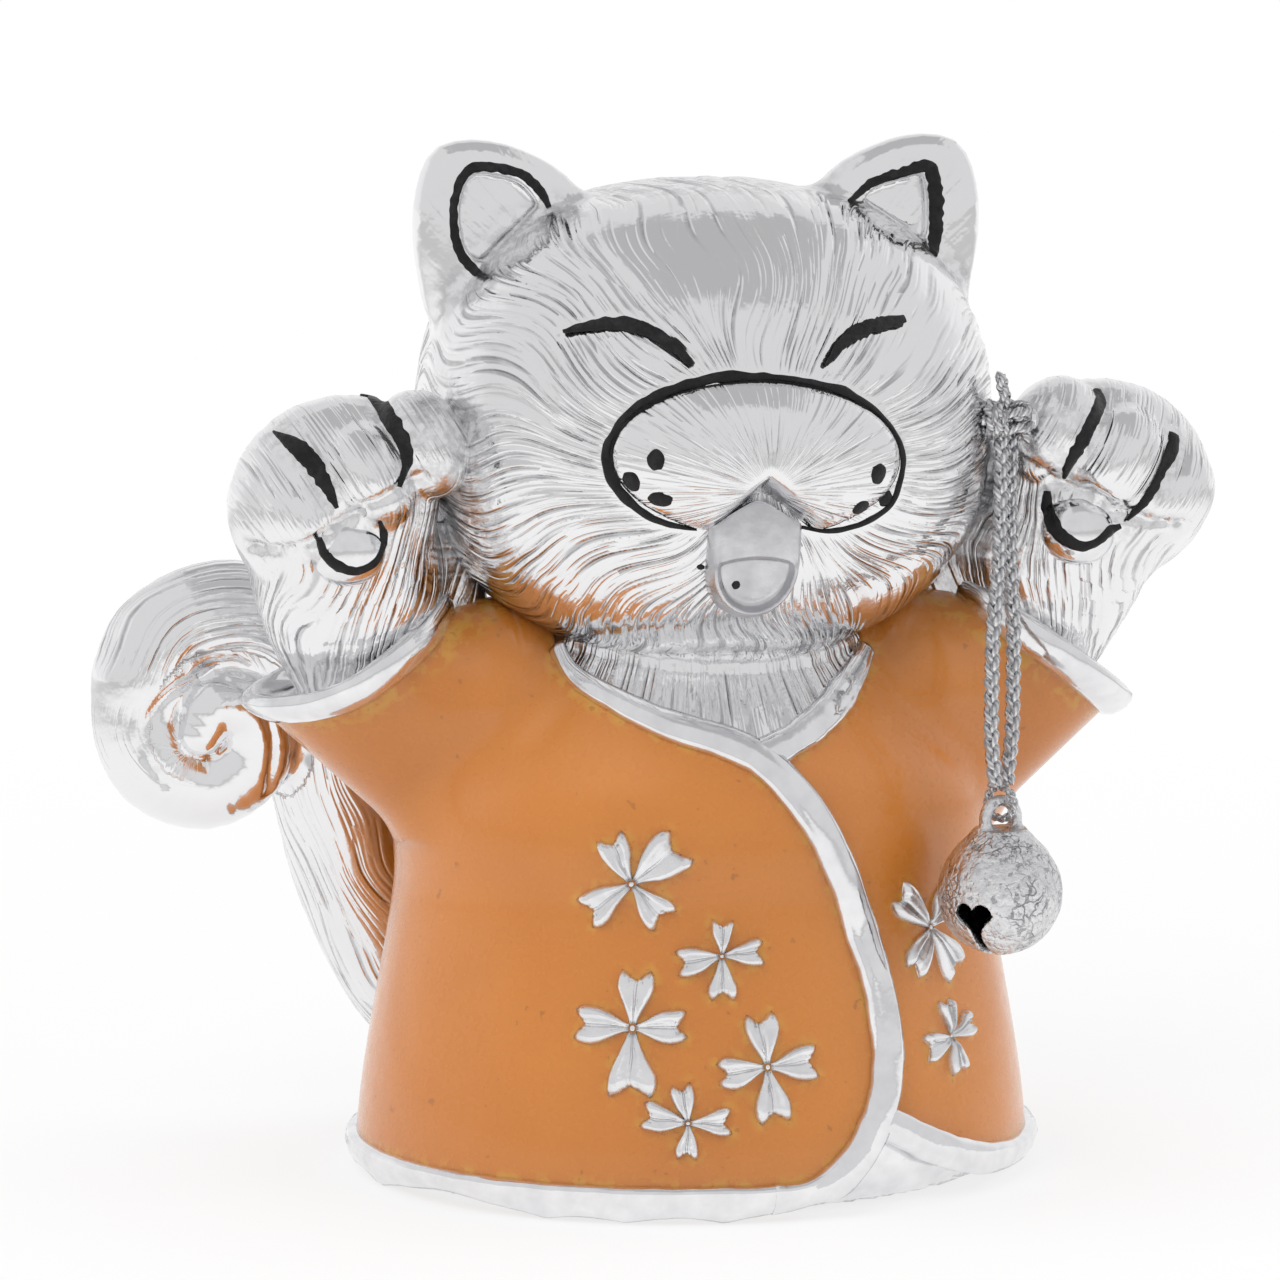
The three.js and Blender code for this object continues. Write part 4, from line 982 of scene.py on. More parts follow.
def piece(name, points, faces, look, slot, body="figure", stands_for=(), marks=None):
    """Mesh with its finish and the values on its points, riding on a body, kept inside the CAD box."""
    mesh = bpy.data.meshes.new(name)
    faces = faces.tolist() if isinstance(faces, np.ndarray) else faces
    mesh.from_pydata(np.clip(np.asarray(points) * MM, *cad_box).tolist(), [], faces)
    mesh.materials.append(look)
    mesh.shade_smooth()
    for label, values in (marks or {}).items():
        values = np.asarray(values, np.float32)
        kind, field = ("FLOAT_VECTOR", "vector") if values.ndim == 2 else ("FLOAT", "value")
        mesh.attributes.new(label, kind, "POINT").data.foreach_set(field, values.ravel())
    mesh.validate()
    made = bpy.data.objects.new(name, mesh)
    bpy.context.scene.collection.objects.link(made)
    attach(made, body)
    if stands_for:
        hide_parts(*stands_for)
    return made


def tube_faces(rings, count):
    """Faces of a tube of rings, closed at both ends."""
    faces = []
    for i in range(rings - 1):
        for j in range(count):
            k = (j + 1) % count
            faces.append([i * count + j, i * count + k, (i + 1) * count + k, (i + 1) * count + j])
    return faces + [list(range(count))[::-1], [(rings - 1) * count + j for j in range(count)]]


def laid_strip(shape, line, half, rise, section, sink, ripple, seed):
    """Strip with a given section laid along a line on a shape, as rings of points and their faces."""
    count = len(line)
    line = settle(shape, np.asarray(line, float), 3)
    side = np.cross(facing(shape, line), np.gradient(line, axis=0))
    side /= np.linalg.norm(side, axis=1)[:, None]
    half, rise = np.broadcast_to(half, count), np.broadcast_to(rise, count)
    rings = []
    for a, h in section:
        beat = np.column_stack([np.arange(count) * 0.35, np.full(count, 5.0 * a), np.full(count, seed)])
        edge = half * a * (1 + ripple * wander(beat))
        foot = settle(shape, line + side * edge[:, None], 2)
        rings.append(foot + facing(shape, foot) * (rise * h if h >= 0 else np.full(count, -sink))[:, None])
    return np.stack(rings, axis=1).reshape(-1, 3), tube_faces(count, len(section))


# Section of a painted stroke: share of the half width and of the height, -1 for sunk into the skin
BRUSH = [(1, -1), (1, 0.15), (0.72, 0.8), (0.25, 1), (-0.25, 1), (-0.72, 0.8), (-1, 0.15), (-1, -1)]
# The same for an edging, with a groove along one side
BAND = [(1, -1), (0.98, 0.3), (0.86, 0.8), (0.55, 1), (0, 1.04), (-0.45, 1), (-0.6, 0.82), (-0.7, 0.86),
        (-0.88, 0.66), (-1, 0.25), (-1, -1)]
# Rings of a painted spot: share of its size and height over the skin
SPOT = [(1.0, -0.25), (1.0, 0.03), (0.8, 0.12), (0.35, 0.16)]
SPOT_SIDES = 32


def brush_line(shape, rows, seed, rise=STROKE_PAINT, count=44, foremost=-FAR):
    """Painted stroke through rows of photo pixel x, y and width, where it lies behind the foremost y."""
    rows = smooth_line(rows, count)
    line = seen(shape, rows[:, :2])
    rows, line = rows[line[:, 1] > foremost], line[line[:, 1] > foremost]
    return laid_strip(shape, line, rows[:, 2] / 2, rise, BRUSH, sink=0.25, ripple=0.34, seed=seed)


def brush_dot(shape, row, seed):
    """Painted spot from a row of photo pixel x, y, half width and half height."""
    *pixel, wide, tall = row
    middle = seen(shape, [pixel])
    up = facing(shape, middle)[0]
    side = np.cross([0, 0, 1.0], up)
    side /= np.linalg.norm(side)
    rise = np.cross(up, side)
    turns = np.linspace(0, 2 * np.pi, SPOT_SIDES, endpoint=False)
    beat = np.column_stack([np.cos(turns) * 1.7, np.sin(turns) * 1.7, np.full(SPOT_SIDES, seed)])
    edge = 1 + 0.12 * wander(beat)
    points = []
    for share, height in SPOT:
        foot = settle(shape, middle + (np.outer(np.cos(turns) * wide * share * edge, side)
                                       + np.outer(np.sin(turns) * tall * share * edge, rise)), 2)
        points.append(foot + facing(shape, foot) * height)
    return np.vstack(points), tube_faces(len(SPOT), SPOT_SIDES)


def joined(parts):
    points, faces, start = [], [], 0
    for p, f in parts:
        points.append(p)
        faces += [[start + i for i in face] for face in f]
        start += len(p)
    return np.vstack(points), faces


def turned_outline(outline, origin, way, steps=96):
    """Ring of a turned outline of radius and height about an axis."""
    side = np.cross(way, [0, 1.0, 0])
    side /= np.linalg.norm(side)
    up = np.cross(way, side)
    points = []
    for turn in np.linspace(0, 2 * np.pi, steps, endpoint=False):
        out = math.cos(turn) * side + math.sin(turn) * up
        points += [origin + height * way + radius * out for radius, height in outline]
    n = len(outline)
    faces = [[((i + 1) % steps) * n + j, ((i + 1) % steps) * n + (j + 1) % n, i * n + (j + 1) % n, i * n + j]
             for i in range(steps) for j in range(n)]
    return np.array(points), faces


# Coat

def coat(petals):
    points, quads = sculpt(coat_form, *SPACES["coat"])
    z = points[:, 2]
    near = np.abs(z - HEM_LINE)
    for rows in (FRONT_EDGE, COLLAR_EDGE):
        line = smooth_line(body_point(*np.array(rows, float).T), 120)
        near = np.minimum(near, nearest(points, line))
    for side in SIDES.values():
        lift = CUFF_LIFT[side] * outer_end(points, side)
        near = np.minimum(near, np.abs(sleeve_form(points, side)[1] - lift + 2.8) + 0.4)
    rim = 1 - ramp(near, 1.5, 2.4)
    front = (points[:, 1] < -10) & (z > 4) & (z < 40)
    halo = 0.8 - 0.8 * ramp(nearest(points[front], petals), 0.3, 0.8)
    rim[front] = np.maximum(rim[front], halo)
    piece("enamel_coat", points, quads, ENAMEL, "enamel", stands_for=["coat_shell"], marks={"rim": rim})


def core():
    points, quads = sculpt(core_form, *SPACES["core"])
    low = ramp(points[:, 2], 6, 2)
    lump = wander(points * [0.16, 0.16, 0.3], seed=2.0) * low
    points = points + facing(core_form, points) * (0.45 * lump * (points[:, 2] > 1.2))[:, None]
    piece("plated_core", points, quads, PLATING, "plating", stands_for=["body_core"])


def bib():
    points, quads = sculpt(bib_form, *SPACES["bib"])
    turn = np.radians(body_degrees(points))
    fur = np.column_stack([14 * np.cos(turn), 14 * np.sin(turn), points[:, 2] / 7])
    way = facing(bib_form, points)
    low = 1 - ramp(points[:, 2] - BIB_TOP - BIB_CURVE * points[:, 0] ** 2, -1.6, -0.4)
    groove = wander(fur * [1.3, 1.3, 0.7], seed=5.0)
    points = points + way * (FUR_DEPTH["bib"] * groove * low)[:, None]
    # nook: painted shade, darker towards the top of the chest fur under the chin
    marks = {"fur": fur, "thick": 0.3 + 0.4 * low, "nook": 0.3 * ramp(points[:, 2], 51, 53)}
    piece("chest_fur", points, quads, FUR, "plating", stands_for=["chest_bib"], marks=marks)


def edging(name, rows, count, width, node):
    """Plated band with a lumpy height along rows of degrees and height."""
    line = smooth_line(body_point(*np.array(rows, float).T), count)
    beat = np.column_stack([np.arange(count) * 0.11, np.zeros(count), np.full(count, len(name))])
    half = width / 2 * (1 + 0.10 * wander(beat))
    rise = BAND_HEIGHT * (1 + 0.16 * wander(beat, seed=4.0))
    points, faces = laid_strip(lambda p: coat_skin(p, 0.0), line, half, rise, BAND,
                               sink=0.5, ripple=0.05, seed=1.0)
    turn = np.radians(body_degrees(points))
    round_way = np.column_stack([2.6 * np.sin(turn), 2.6 * np.cos(turn), np.zeros(len(turn))])
    lump = 1.5 * np.abs(wander(round_way, seed=2.6)) - 0.35
    points[:, 2] += lump * ramp(points[:, 2], HEM_LINE, HEM_LINE - 1.4)
    piece(name, points, faces, PLATING, "plating", stands_for=[node])


def edgings():
    width = BAND_WIDTH * (0.55 + 0.45 * ramp(np.linspace(0, 1, 150), 0.0, 0.3))
    edging("front_edging", FRONT_EDGE, 150, width, "front_band")
    width = BAND_WIDTH * (1 - 0.35 * ramp(np.linspace(0, 1, 70), 0.6, 1))
    edging("collar_edging", COLLAR_EDGE, 70, width, "left_collar_band")
    rows = [[degrees, HEM_LINE] for degrees in np.linspace(4.0, -180.4, 30)]
    edging("right_hem_edging", rows, 170, BAND_WIDTH, "right_hem_band")
    wide = body_size(LEFT_HEM[:, 1])[0]
    rows = [[math.degrees(math.asin(x / w)), z] for (x, z), w in zip(LEFT_HEM, wide)]
    rows += [[degrees, HEM_LINE] for degrees in np.linspace(76, 180.4, 16)]
    edging("left_hem_edging", rows, 150, BAND_WIDTH, "left_hem_band")


# Section of a cuff: place along the sleeve where its skin is read, distance from that skin, place along
CUFF_ROWS = [(-2.9, -0.5, -2.9), (-2.8, 0.5, -2.8), (-2.4, 1.0, -2.4), (-1.7, 1.3, -1.7), (-1, 1.45, -1),
             (-0.3, 1.4, -0.2), (0, 1.1, 0.3), (0, 0.5, 0.5), (0, -0.2, 0.3), (0, -0.7, -0.3),
             (-1.5, -1.2, -1.2), (-2.6, -2.2, -1.8)]
# Floor of the cuff inside the sleeve: radius and place along
CUFF_FLOOR = [(4.0, -2.4), (0.4, -2.6), (0.4, -5.0)]
CUFF_HEEL = (-5, -1.5, -5.0)


def cuffs():
    def row_point(row):
        skin, out, along = row
        return CUFF_RADIUS + CUFF_FLARE * skin + out, along
    outline = [row_point(row) for row in CUFF_ROWS] + CUFF_FLOOR + [row_point(CUFF_HEEL)]
    for word, side in SIDES.items():
        middle, way = sleeve_axes(side)
        points, faces = turned_outline(outline, middle, way)
        lump = wander(points * 0.35, seed=3.0 + side)
        away = from_sleeve(points, side)[1]
        away /= np.linalg.norm(away, axis=1)[:, None]
        lift = CUFF_LIFT[side] * outer_end(points, side)
        points = points + 0.14 * lump[:, None] * away + lift[:, None] * way
        piece(f"{word}_cuff", points, faces, PLATING, "plating", stands_for=[f"{word}_cuff_band"])


# Blossoms

def petal():
    """One petal of unit reach, notched at its end, with an engraved vein on each side."""
    along = np.array([0.05, 0.14, 0.26, 0.4, 0.54, 0.68, 0.8, 0.9, 1.0])
    half = np.array([0.07, 0.1, 0.16, 0.23, 0.29, 0.33, 0.34, 0.32, 0.26])
    shares = np.array([0.07, 0.2, 0.36, 0.5, 0.68, 0.86, 1])
    relief = np.array([0.45, 0.95, 0.62, 1.0, 0.95, 0.72, 0.1])
    shares, relief = np.concatenate([-shares[::-1], shares]), np.concatenate([relief[::-1], relief])
    pull = 0.19 * ramp(along, 0.55, 1.0)
    height = (0.25 + 0.75 * ramp(along, 0.0, 0.3)) * (1 - 0.75 * ramp(along, 0.93, 1.0))
    points, faces = [], []
    for a, h, p, up in zip(along, half, pull, height):
        points += [(a - p * (1 - abs(s)) ** 1.2, s * h, up * r) for s, r in zip(shares, relief)]
    n, top = len(shares), len(points)
    for i in range(0, top - n, n):
        faces += [[i + j, i + n + j, i + n + j + 1, i + j + 1] for j in range(n - 1)]
    ring = [*range(0, top, n), *range(top - n + 1, top), *range(top - 1 - n, 0, -n), *range(n - 2, 0, -1)]
    points += [(points[i][0], points[i][1], -0.4) for i in ring]
    for k in range(len(ring)):
        m = (k + 1) % len(ring)
        faces.append([ring[k], top + k, top + m, ring[m]])
    faces.append([top + k for k in range(len(ring))])
    mesh = bpy.data.meshes.new("petal")
    mesh.from_pydata(points, [], faces)
    return mesh


def growing_tree(name, inputs):
    """Geometry tree with named inputs and a finish, and the identifiers of those inputs."""
    tree = bpy.data.node_groups.new(name, "GeometryNodeTree")
    tree.interface.new_socket("Geometry", in_out="INPUT", socket_type="NodeSocketGeometry")
    keys = {}
    for label, kind in (*inputs.items(), ("Finish", "NodeSocketMaterial")):
        keys[label.lower()] = tree.interface.new_socket(label, in_out="INPUT", socket_type=kind).identifier
    tree.interface.new_socket("Geometry", in_out="OUTPUT", socket_type="NodeSocketGeometry")
    return tree, keys, tree.nodes.new("NodeGroupInput").outputs


def close_tree(tree, given, parts):
    """Joins the parts of a tree, makes them real and gives them their finish."""
    both = tree.nodes.new("GeometryNodeJoinGeometry")
    for part in parts:
        tree.links.new(part, both.inputs[0])
    real = place(tree, "GeometryNodeRealizeInstances", {"Geometry": both.outputs[0]}).outputs[0]
    made = place(tree, "GeometryNodeSetMaterial", {"Geometry": real, "Material": given["Finish"]})
    tree.links.new(made.outputs[0], tree.nodes.new("NodeGroupOutput").inputs["Geometry"])


def blossom_tree():
    """Sets one petal round a middle point and adds the boss."""
    tree, keys, given = growing_tree("blossom", {"Petals": "NodeSocketInt", "Spread": "NodeSocketFloat",
                                                 "Boss": "NodeSocketFloat"})
    middle = place(tree, "GeometryNodeMeshCircle", {"Vertices": given["Petals"], "Radius": given["Spread"]})
    step = maths(tree, "DIVIDE", 2 * math.pi, given["Petals"])
    turn = times(tree, tree.nodes.new("GeometryNodeInputIndex").outputs[0], step)
    way = place(tree, "ShaderNodeCombineXYZ", {"Z": turn}).outputs[0]
    petals = place(tree, "GeometryNodeInstanceOnPoints", {
        "Points": middle.outputs[0], "Instance": given["Geometry"], "Rotation": way})
    boss = place(tree, "GeometryNodeMeshUVSphere", {"Segments": 14, "Rings": 8, "Radius": given["Boss"]})
    raised = place(tree, "GeometryNodeTransform", {"Geometry": boss.outputs[0], "Translation": (0, 0, 0.2)})
    close_tree(tree, given, [petals.outputs[0], raised.outputs[0]])
    return tree, keys


def grown(mesh, tree, keys, values):
    """Points and faces that a node tree makes from a mesh."""
    seed = bpy.data.objects.new("seed", mesh)
    bpy.context.scene.collection.objects.link(seed)
    modifier = seed.modifiers.new("grow", "NODES")
    modifier.node_group = tree
    for key, value in values.items():
        modifier[keys[key]] = value
    made = bpy.data.meshes.new_from_object(seed.evaluated_get(bpy.context.evaluated_depsgraph_get()))
    bpy.data.objects.remove(seed)
    co = np.empty(len(made.vertices) * 3, np.float32)
    made.vertices.foreach_get("co", co)
    faces = [list(face.vertices) for face in made.polygons]
    bpy.data.meshes.remove(made)
    return co.reshape(-1, 3).astype(float), faces


def blossoms():
    """Blossoms bent on to the coat; gives back the points where their petals meet it."""
    tree, keys = blossom_tree()
    values = {"petals": PETALS, "spread": PETAL_START, "boss": BOSS_RADIUS, "finish": WORN}
    flat, faces = grown(petal(), tree, keys, values)
    which = np.round(np.degrees(np.arctan2(flat[:, 1], flat[:, 0])) / 90).astype(int) % PETALS
    laid = []
    for i, (angle, z, *petals) in enumerate(BLOSSOMS):
        ends = body_point(np.array([angle - 0.5, angle + 0.5]), np.array([z, z]))
        one_degree = np.linalg.norm(ends[1] - ends[0])
        bend = 0.10 * wander(flat * [2.2, 2.2, 0.0], seed=9.0 + i)
        turns, reach = np.array(petals)[which].T
        spin = np.radians(turns - 90 * which) + bend
        x = reach * (flat[:, 0] * np.cos(spin) - flat[:, 1] * np.sin(spin))
        y = reach * (flat[:, 0] * np.sin(spin) + flat[:, 1] * np.cos(spin))
        foot = settle(coat_skin, body_point(angle + x / one_degree, z + y), 2)
        points = foot + facing(coat_skin, foot) * (PETAL_RELIEF * flat[:, 2])[:, None]
        piece(f"blossom_relief_{i + 1}", points, faces, WORN, "plating", stands_for=[f"blossom_{i + 1}"])
        laid.append(points[flat[:, 2] < 0.2])
    return np.vstack(laid)


# Head

def head_nooks(points):
    """Mask of the nooks beside the arms and the coat, along the ears' sills and in the mouth, where the fur
    finish paints shade and roughens the plating.
    """
    x, y, z = points.T
    nook = np.maximum(0.8 * beside(points, lambda p: np.minimum(arm_form(p, -1), arm_form(p, 1)), 3.5),
                      0.6 * beside(points, coat_skin, 3.0))
    for (ax, az), (bx, bz) in EAR_SILL.values():
        wx, wz = bx - ax, bz - az
        t = np.clip(((x - ax) * wx + (z - az) * wz) / (wx ** 2 + wz ** 2), -0.1, 1.1)
        gap = np.hypot(x - ax - t * wx, z - az - t * wz)
        nook = np.maximum(nook, 0.75 * (1 - ramp(gap, 1.2, 3.4)) * (y < -5) * ramp(y, -15, -10))
    mouth = np.hypot((x - LIP_NOTCH[0]) / 5.5, (z - MOUTH_MIDDLE) / 4.0)
    return np.maximum(nook, (1 - ramp(mouth, 0.7, 1.1)) * (y < -20))


def head():
    points, quads = sculpt(head_form, *SPACES["head"])
    way = facing(head_form, points)
    fur = fur_from(points, HEAD + [0.3, 0, -1.5], HEAD_SIZE, (0.01, -1, -0.03), strands=11.0, length=9.0)
    x, y, z = points.T
    calm = np.exp(-((x + 2) / 13) ** 2 - ((z - 88.2) / 4.2) ** 2) * (y < -8)
    ear = 0.9 * (1 - ramp(np.minimum(ear_form(points, -1), ear_form(points, 1)), 0.3, 2.5))
    strokes = np.vstack([seen(face_form, smooth_line(rows, 60)[:, :2])
                         for rows in (MUZZLE_ROWS, *EYE_ROWS.values(), *EAR_ROWS.values())])
    thick = np.clip(1 - 0.8 * calm - ear, 0.12, 1) * ramp(nearest(points, strokes), 0.3, 1.6)
    # nook: painted shade in the head's nooks
    marks = {"fur": fur, "thick": thick, "nook": head_nooks(points)}
    points = comb(points, way, fur, FUR_DEPTH["head"] * thick)
    for rows in EYE_ROWS.values():
        gap = nearest(points, seen(skull_form, smooth_line(rows, 40)[:, :2]))
        points = points - way * (EYE_GROOVE * np.exp(-(gap / 0.8) ** 2))[:, None]
    piece("plated_head", points, quads, FUR, "plating", stands_for=["head", "right_ear", "left_ear"],
          marks=marks)


def muzzle():
    def cap(p):
        return np.maximum(muzzle_form(p), -1.2 - skull_form(p))
    points, quads = sculpt(cap, *SPACES["muzzle"])
    way = facing(muzzle_form, points)
    x, z = points[:, 0] - LIP_NOTCH[0], points[:, 2] - LIP_NOTCH[1] + 1.5
    turn, away = np.arctan2(z, x), np.hypot(x, z)
    fur = np.column_stack([7.5 * np.cos(turn), 7.5 * np.sin(turn), away / 6])
    calm = np.exp(-((x + 1) / 8) ** 2 - ((points[:, 2] - 76) / 2.2) ** 2)
    thick = 0.5 * ramp(away, 1.5, 4) * (1 - 0.6 * calm)
    points = comb(points, way, fur, FUR_DEPTH["muzzle"] * thick)
    marks = {"fur": fur, "thick": thick}
    piece("plated_muzzle", points, quads, FUR, "plating", stands_for=["muzzle"], marks=marks)


def tongue():
    points, quads = sculpt(tongue_form, *SPACES["tongue"])
    piece("plated_tongue", points, quads, MOUTH_SHADE_PLATING, "plating", stands_for=["tongue"])


# Arms and tail

def arm(word, side):
    def shape(p):
        return arm_form(p, side)

    def inside_sleeve(p):
        wall, along = sleeve_form(p, side, 1.4)
        return -wall + 9 * (along > 1.5)
    points, quads = sculpt(shape, *SPACES[f"{word}_arm"])
    way = facing(shape, points)
    fur = fur_along(side_of(points, side), arm_rows(side), hair=1.7, length=8.0, twist=0.05)
    rel = side_of(points, side) - paw_middle(side)
    across = rel @ [math.cos(PAW_TILT), 0, -math.sin(PAW_TILT)]
    up = rel @ [math.sin(PAW_TILT), 0, math.cos(PAW_TILT)]
    above = up + 2.6 + 0.12 * rel[:, 1] - 5 * ramp(rel[:, 1], -2.0, 7.0)
    knuckle = above > 0
    over = np.arctan2(up, -rel[:, 1]) + 9
    fur[knuckle] = np.column_stack([5 * np.cos(across / 7), 5 * np.sin(across / 7), over])[knuckle]
    crease = nearest(points, seen(shape, smooth_line(TOE_CREASE[word], 50)))
    fold = np.exp(-(crease / 0.75) ** 2)
    strokes = np.vstack([seen(shape, smooth_line(rows, 30)[:, :2]) for rows in TOE_ROWS[word]])
    gap = nearest(points, strokes)
    pole = np.where(knuckle, ramp(np.hypot(up, rel[:, 1]), 1.0, 5.0), 1.0)
    thick = np.where(knuckle, 0.55, 0.8) * ramp(crease, 0.2, 1.2) * ramp(gap, 0.4, 1.6)
    thick = thick * ramp(np.abs(above), 0.1, 1.4) * pole
    # nook: painted shade beside the head, inside the sleeve, in the fold under the toes and along the toe
    # lines; it also roughens the plating
    nook = np.maximum.reduce([beside(points, skull_form, 4.0), 0.6 * beside(points, inside_sleeve, 1.5),
                              0.8 * fold, 0.6 * (1 - ramp(gap, 0.8, 2.4))])
    frayed = 0.75 + 0.5 * wander(points * 0.9, seed=2.0)
    points = comb(points, way, fur, FUR_DEPTH["arm"] * thick) - way * (TOE_FOLD * fold * frayed)[:, None]
    piece(f"{word}_forearm", points, quads, FUR, "plating", stands_for=[f"{word}_arm"],
          marks={"fur": fur, "thick": thick, "nook": nook})


def paw_pad(word, side):
    def cushion(p):
        return np.maximum(pad_form(p, side), -1.0 - arm_form(p, side))
    middle = pad_middle(side)
    low, high = middle - PAD_SIZE - PAD_MARGIN, middle + PAD_SIZE + PAD_MARGIN
    points, quads = sculpt(cushion, low, high, PAD_CELL)
    piece(f"{word}_pad", points, quads, PLATING, "plating", stands_for=[f"{word}_paw_pad"])


def arms():
    for word, side in SIDES.items():
        arm(word, side)
        paw_pad(word, side)


def tail():
    points, quads = sculpt(tail_form, *SPACES["tail"])
    way = facing(tail_form, points)
    fur = fur_along(points, TAIL_LINE, hair=1.6, length=11.0, twist=0.012)
    groove = np.exp(-(nearest(points, seen(tail_form, smooth_line(TAIL_CURL, 90))) / 0.6) ** 2)
    turns = rope(points, TAIL_LINE[:TAIL_SPLIT + 1])[0] - rope(points, TAIL_LINE[TAIL_SPLIT + 3:])[0]
    thick = ramp(np.abs(turns), 0.3, 2.0) * (1 - 0.7 * groove) * (0.75 - 0.35 * ramp(turns, 0.0, 2.0))
    thick = thick * (1 - ramp(rope(points, TAIL_LINE)[1], 58, 68))
    points = comb(points, way, fur, FUR_DEPTH["tail"] * thick) - way * (TAIL_GROOVE * groove)[:, None]
    # nook: painted shade in the crease of the curl and where the tail meets the coat
    nook = np.maximum(0.3 * groove, beside(points, coat_skin, 2.0))
    piece("plated_tail", points, quads, FUR, "plating", stands_for=["tail"],
          marks={"fur": fur, "thick": thick, "nook": nook})


# Paint

def painted(name, points_and_faces, stands_for=()):
    piece(name, *points_and_faces, PAINT, "black_paint", stands_for=stands_for)


def paint():
    for word, rows in EYE_ROWS.items():
        painted(f"{word}_eye_stroke", brush_line(head_form, rows, 1.3, EYE_PAINT), [f"{word}_eye_line"])
    painted("muzzle_stroke", brush_line(face_form, MUZZLE_ROWS, 4.4, count=150), ["muzzle_line"])
    painted("whisker_dots", joined([brush_dot(face_form, row, i) for i, row in enumerate(WHISKER_DOTS)]))

    def mouth(p):
        return np.minimum(face_form(p), tongue_form(p))
    painted("paint_specks", joined([brush_dot(mouth, row, 9 + i) for i, row in enumerate(SPECKS)]))
    for word, rows in EAR_ROWS.items():
        painted(f"{word}_ear_stroke", brush_line(head_form, rows, 2.2, count=90, foremost=EAR_FRONT - 1.2))
    for word, side in SIDES.items():
        def paw(p):
            return np.minimum(arm_form(p, side), pad_form(p, side))
        strokes = [brush_line(paw, rows, 3.0 + i) for i, rows in enumerate(TOE_ROWS[word])]
        painted(f"{word}_paw_strokes", joined(strokes))


# Bell and cord

def bell():
    points, quads = sculpt(bell_form, *SPACES["bell"])
    away = points - BELL
    reach = np.linalg.norm(away, axis=1)
    points = points + 0.06 * wander(points * 0.9, seed=4.0)[:, None] * away / reach[:, None]
    # inside: marks the inner wall of the bell, which its finish paints near black as shade
    piece("bell_shell", points, quads, ANTIQUE, "bell", "bell", ["bell_cap", "bell_bowl", "bell_eye"],
          {"inside": 1 - ramp(reach, BELL_RADIUS - 0.5, BELL_RADIUS - 0.1)})


def plait_tree():
    """Threads that cross over and under along a path."""
    kinds = {label.title(): "NodeSocketFloat" for label in PLAIT} | {"Steps": "NodeSocketInt"}
    tree, keys, given = growing_tree("plait", kinds)
    path = place(tree, "GeometryNodeMeshToCurve", {"Mesh": given["Geometry"]}).outputs[0]
    path = place(tree, "GeometryNodeResampleCurve", {"Curve": path, "Count": given["Steps"]}).outputs[0]
    reach = tree.nodes.new("GeometryNodeSplineParameter").outputs["Length"]
    cycle = times(tree, maths(tree, "DIVIDE", reach, given["Pitch"]), 2 * math.pi)
    side = tree.nodes.new("GeometryNodeInputNormal").outputs[0]
    way = tree.nodes.new("GeometryNodeInputTangent").outputs[0]
    up = vectors(tree, "CROSS_PRODUCT", way, side)
    ring = place(tree, "GeometryNodeCurvePrimitiveCircle", {"Resolution": THREAD_SIDES,
                                                            "Radius": given["Thread"]}).outputs[0]
    skins = []
    for k in range(THREAD_COUNT):
        turn = plus(tree, cycle, 2 * math.pi * k / THREAD_COUNT)
        aside = times(tree, maths(tree, "SINE", turn), given["Spread"])
        over = times(tree, maths(tree, "SINE", times(tree, turn, 2.0)), given["Lift"])
        move = vectors(tree, "ADD", vectors(tree, "SCALE", side, aside), vectors(tree, "SCALE", up, over))
        thread = place(tree, "GeometryNodeSetPosition", {"Geometry": path, "Offset": move}).outputs[0]
        skin = place(tree, "GeometryNodeCurveToMesh", {"Curve": thread, "Profile Curve": ring,
                                                       "Fill Caps": True})
        skins.append(skin.outputs[0])
    close_tree(tree, given, skins)
    return tree, keys


def plaited(name, path, body, nodes, tree, keys, values):
    line = bpy.data.meshes.new(name)
    line.from_pydata((path * MM).tolist(), [(i, i + 1) for i in range(len(path) - 1)], [])
    points, faces = grown(line, tree, keys, values | {"finish": THREAD})
    place_of = np.arange(len(points))
    yarn = np.column_stack([place_of % THREAD_SIDES / THREAD_SIDES * 2.0, place_of // THREAD_SIDES * 0.16,
                            np.zeros(len(points))])
    return piece(name, points / MM, faces, THREAD, "cord", body, nodes, {"yarn": yarn})


def knot_path():
    """Coil round the peg, wraps round both strands and the cut end that stands up."""
    s = np.linspace(0, 1, 90)
    turns = 5 * np.pi * s
    wraps = KNOT + [0.9, 0, 0] + np.column_stack([1.15 * np.cos(turns), 0.95 * np.sin(turns), -1.6 + 3.0 * s])
    end = smooth_line([wraps[-1], KNOT + [-0.3, -0.4, 2.2], KNOT + [-0.9, -0.8, 4.3]], 24)
    turns = 4.4 * np.pi * s
    coil = KNOT + np.column_stack([-2.0 + 1.7 * s, 1.3 * np.cos(turns), 1.3 * np.sin(turns)])
    link = smooth_line([coil[-1], KNOT + [0.9, 0, 0], wraps[0]], 12)
    return np.vstack([coil, link[1:], wraps[1:], end[1:]])


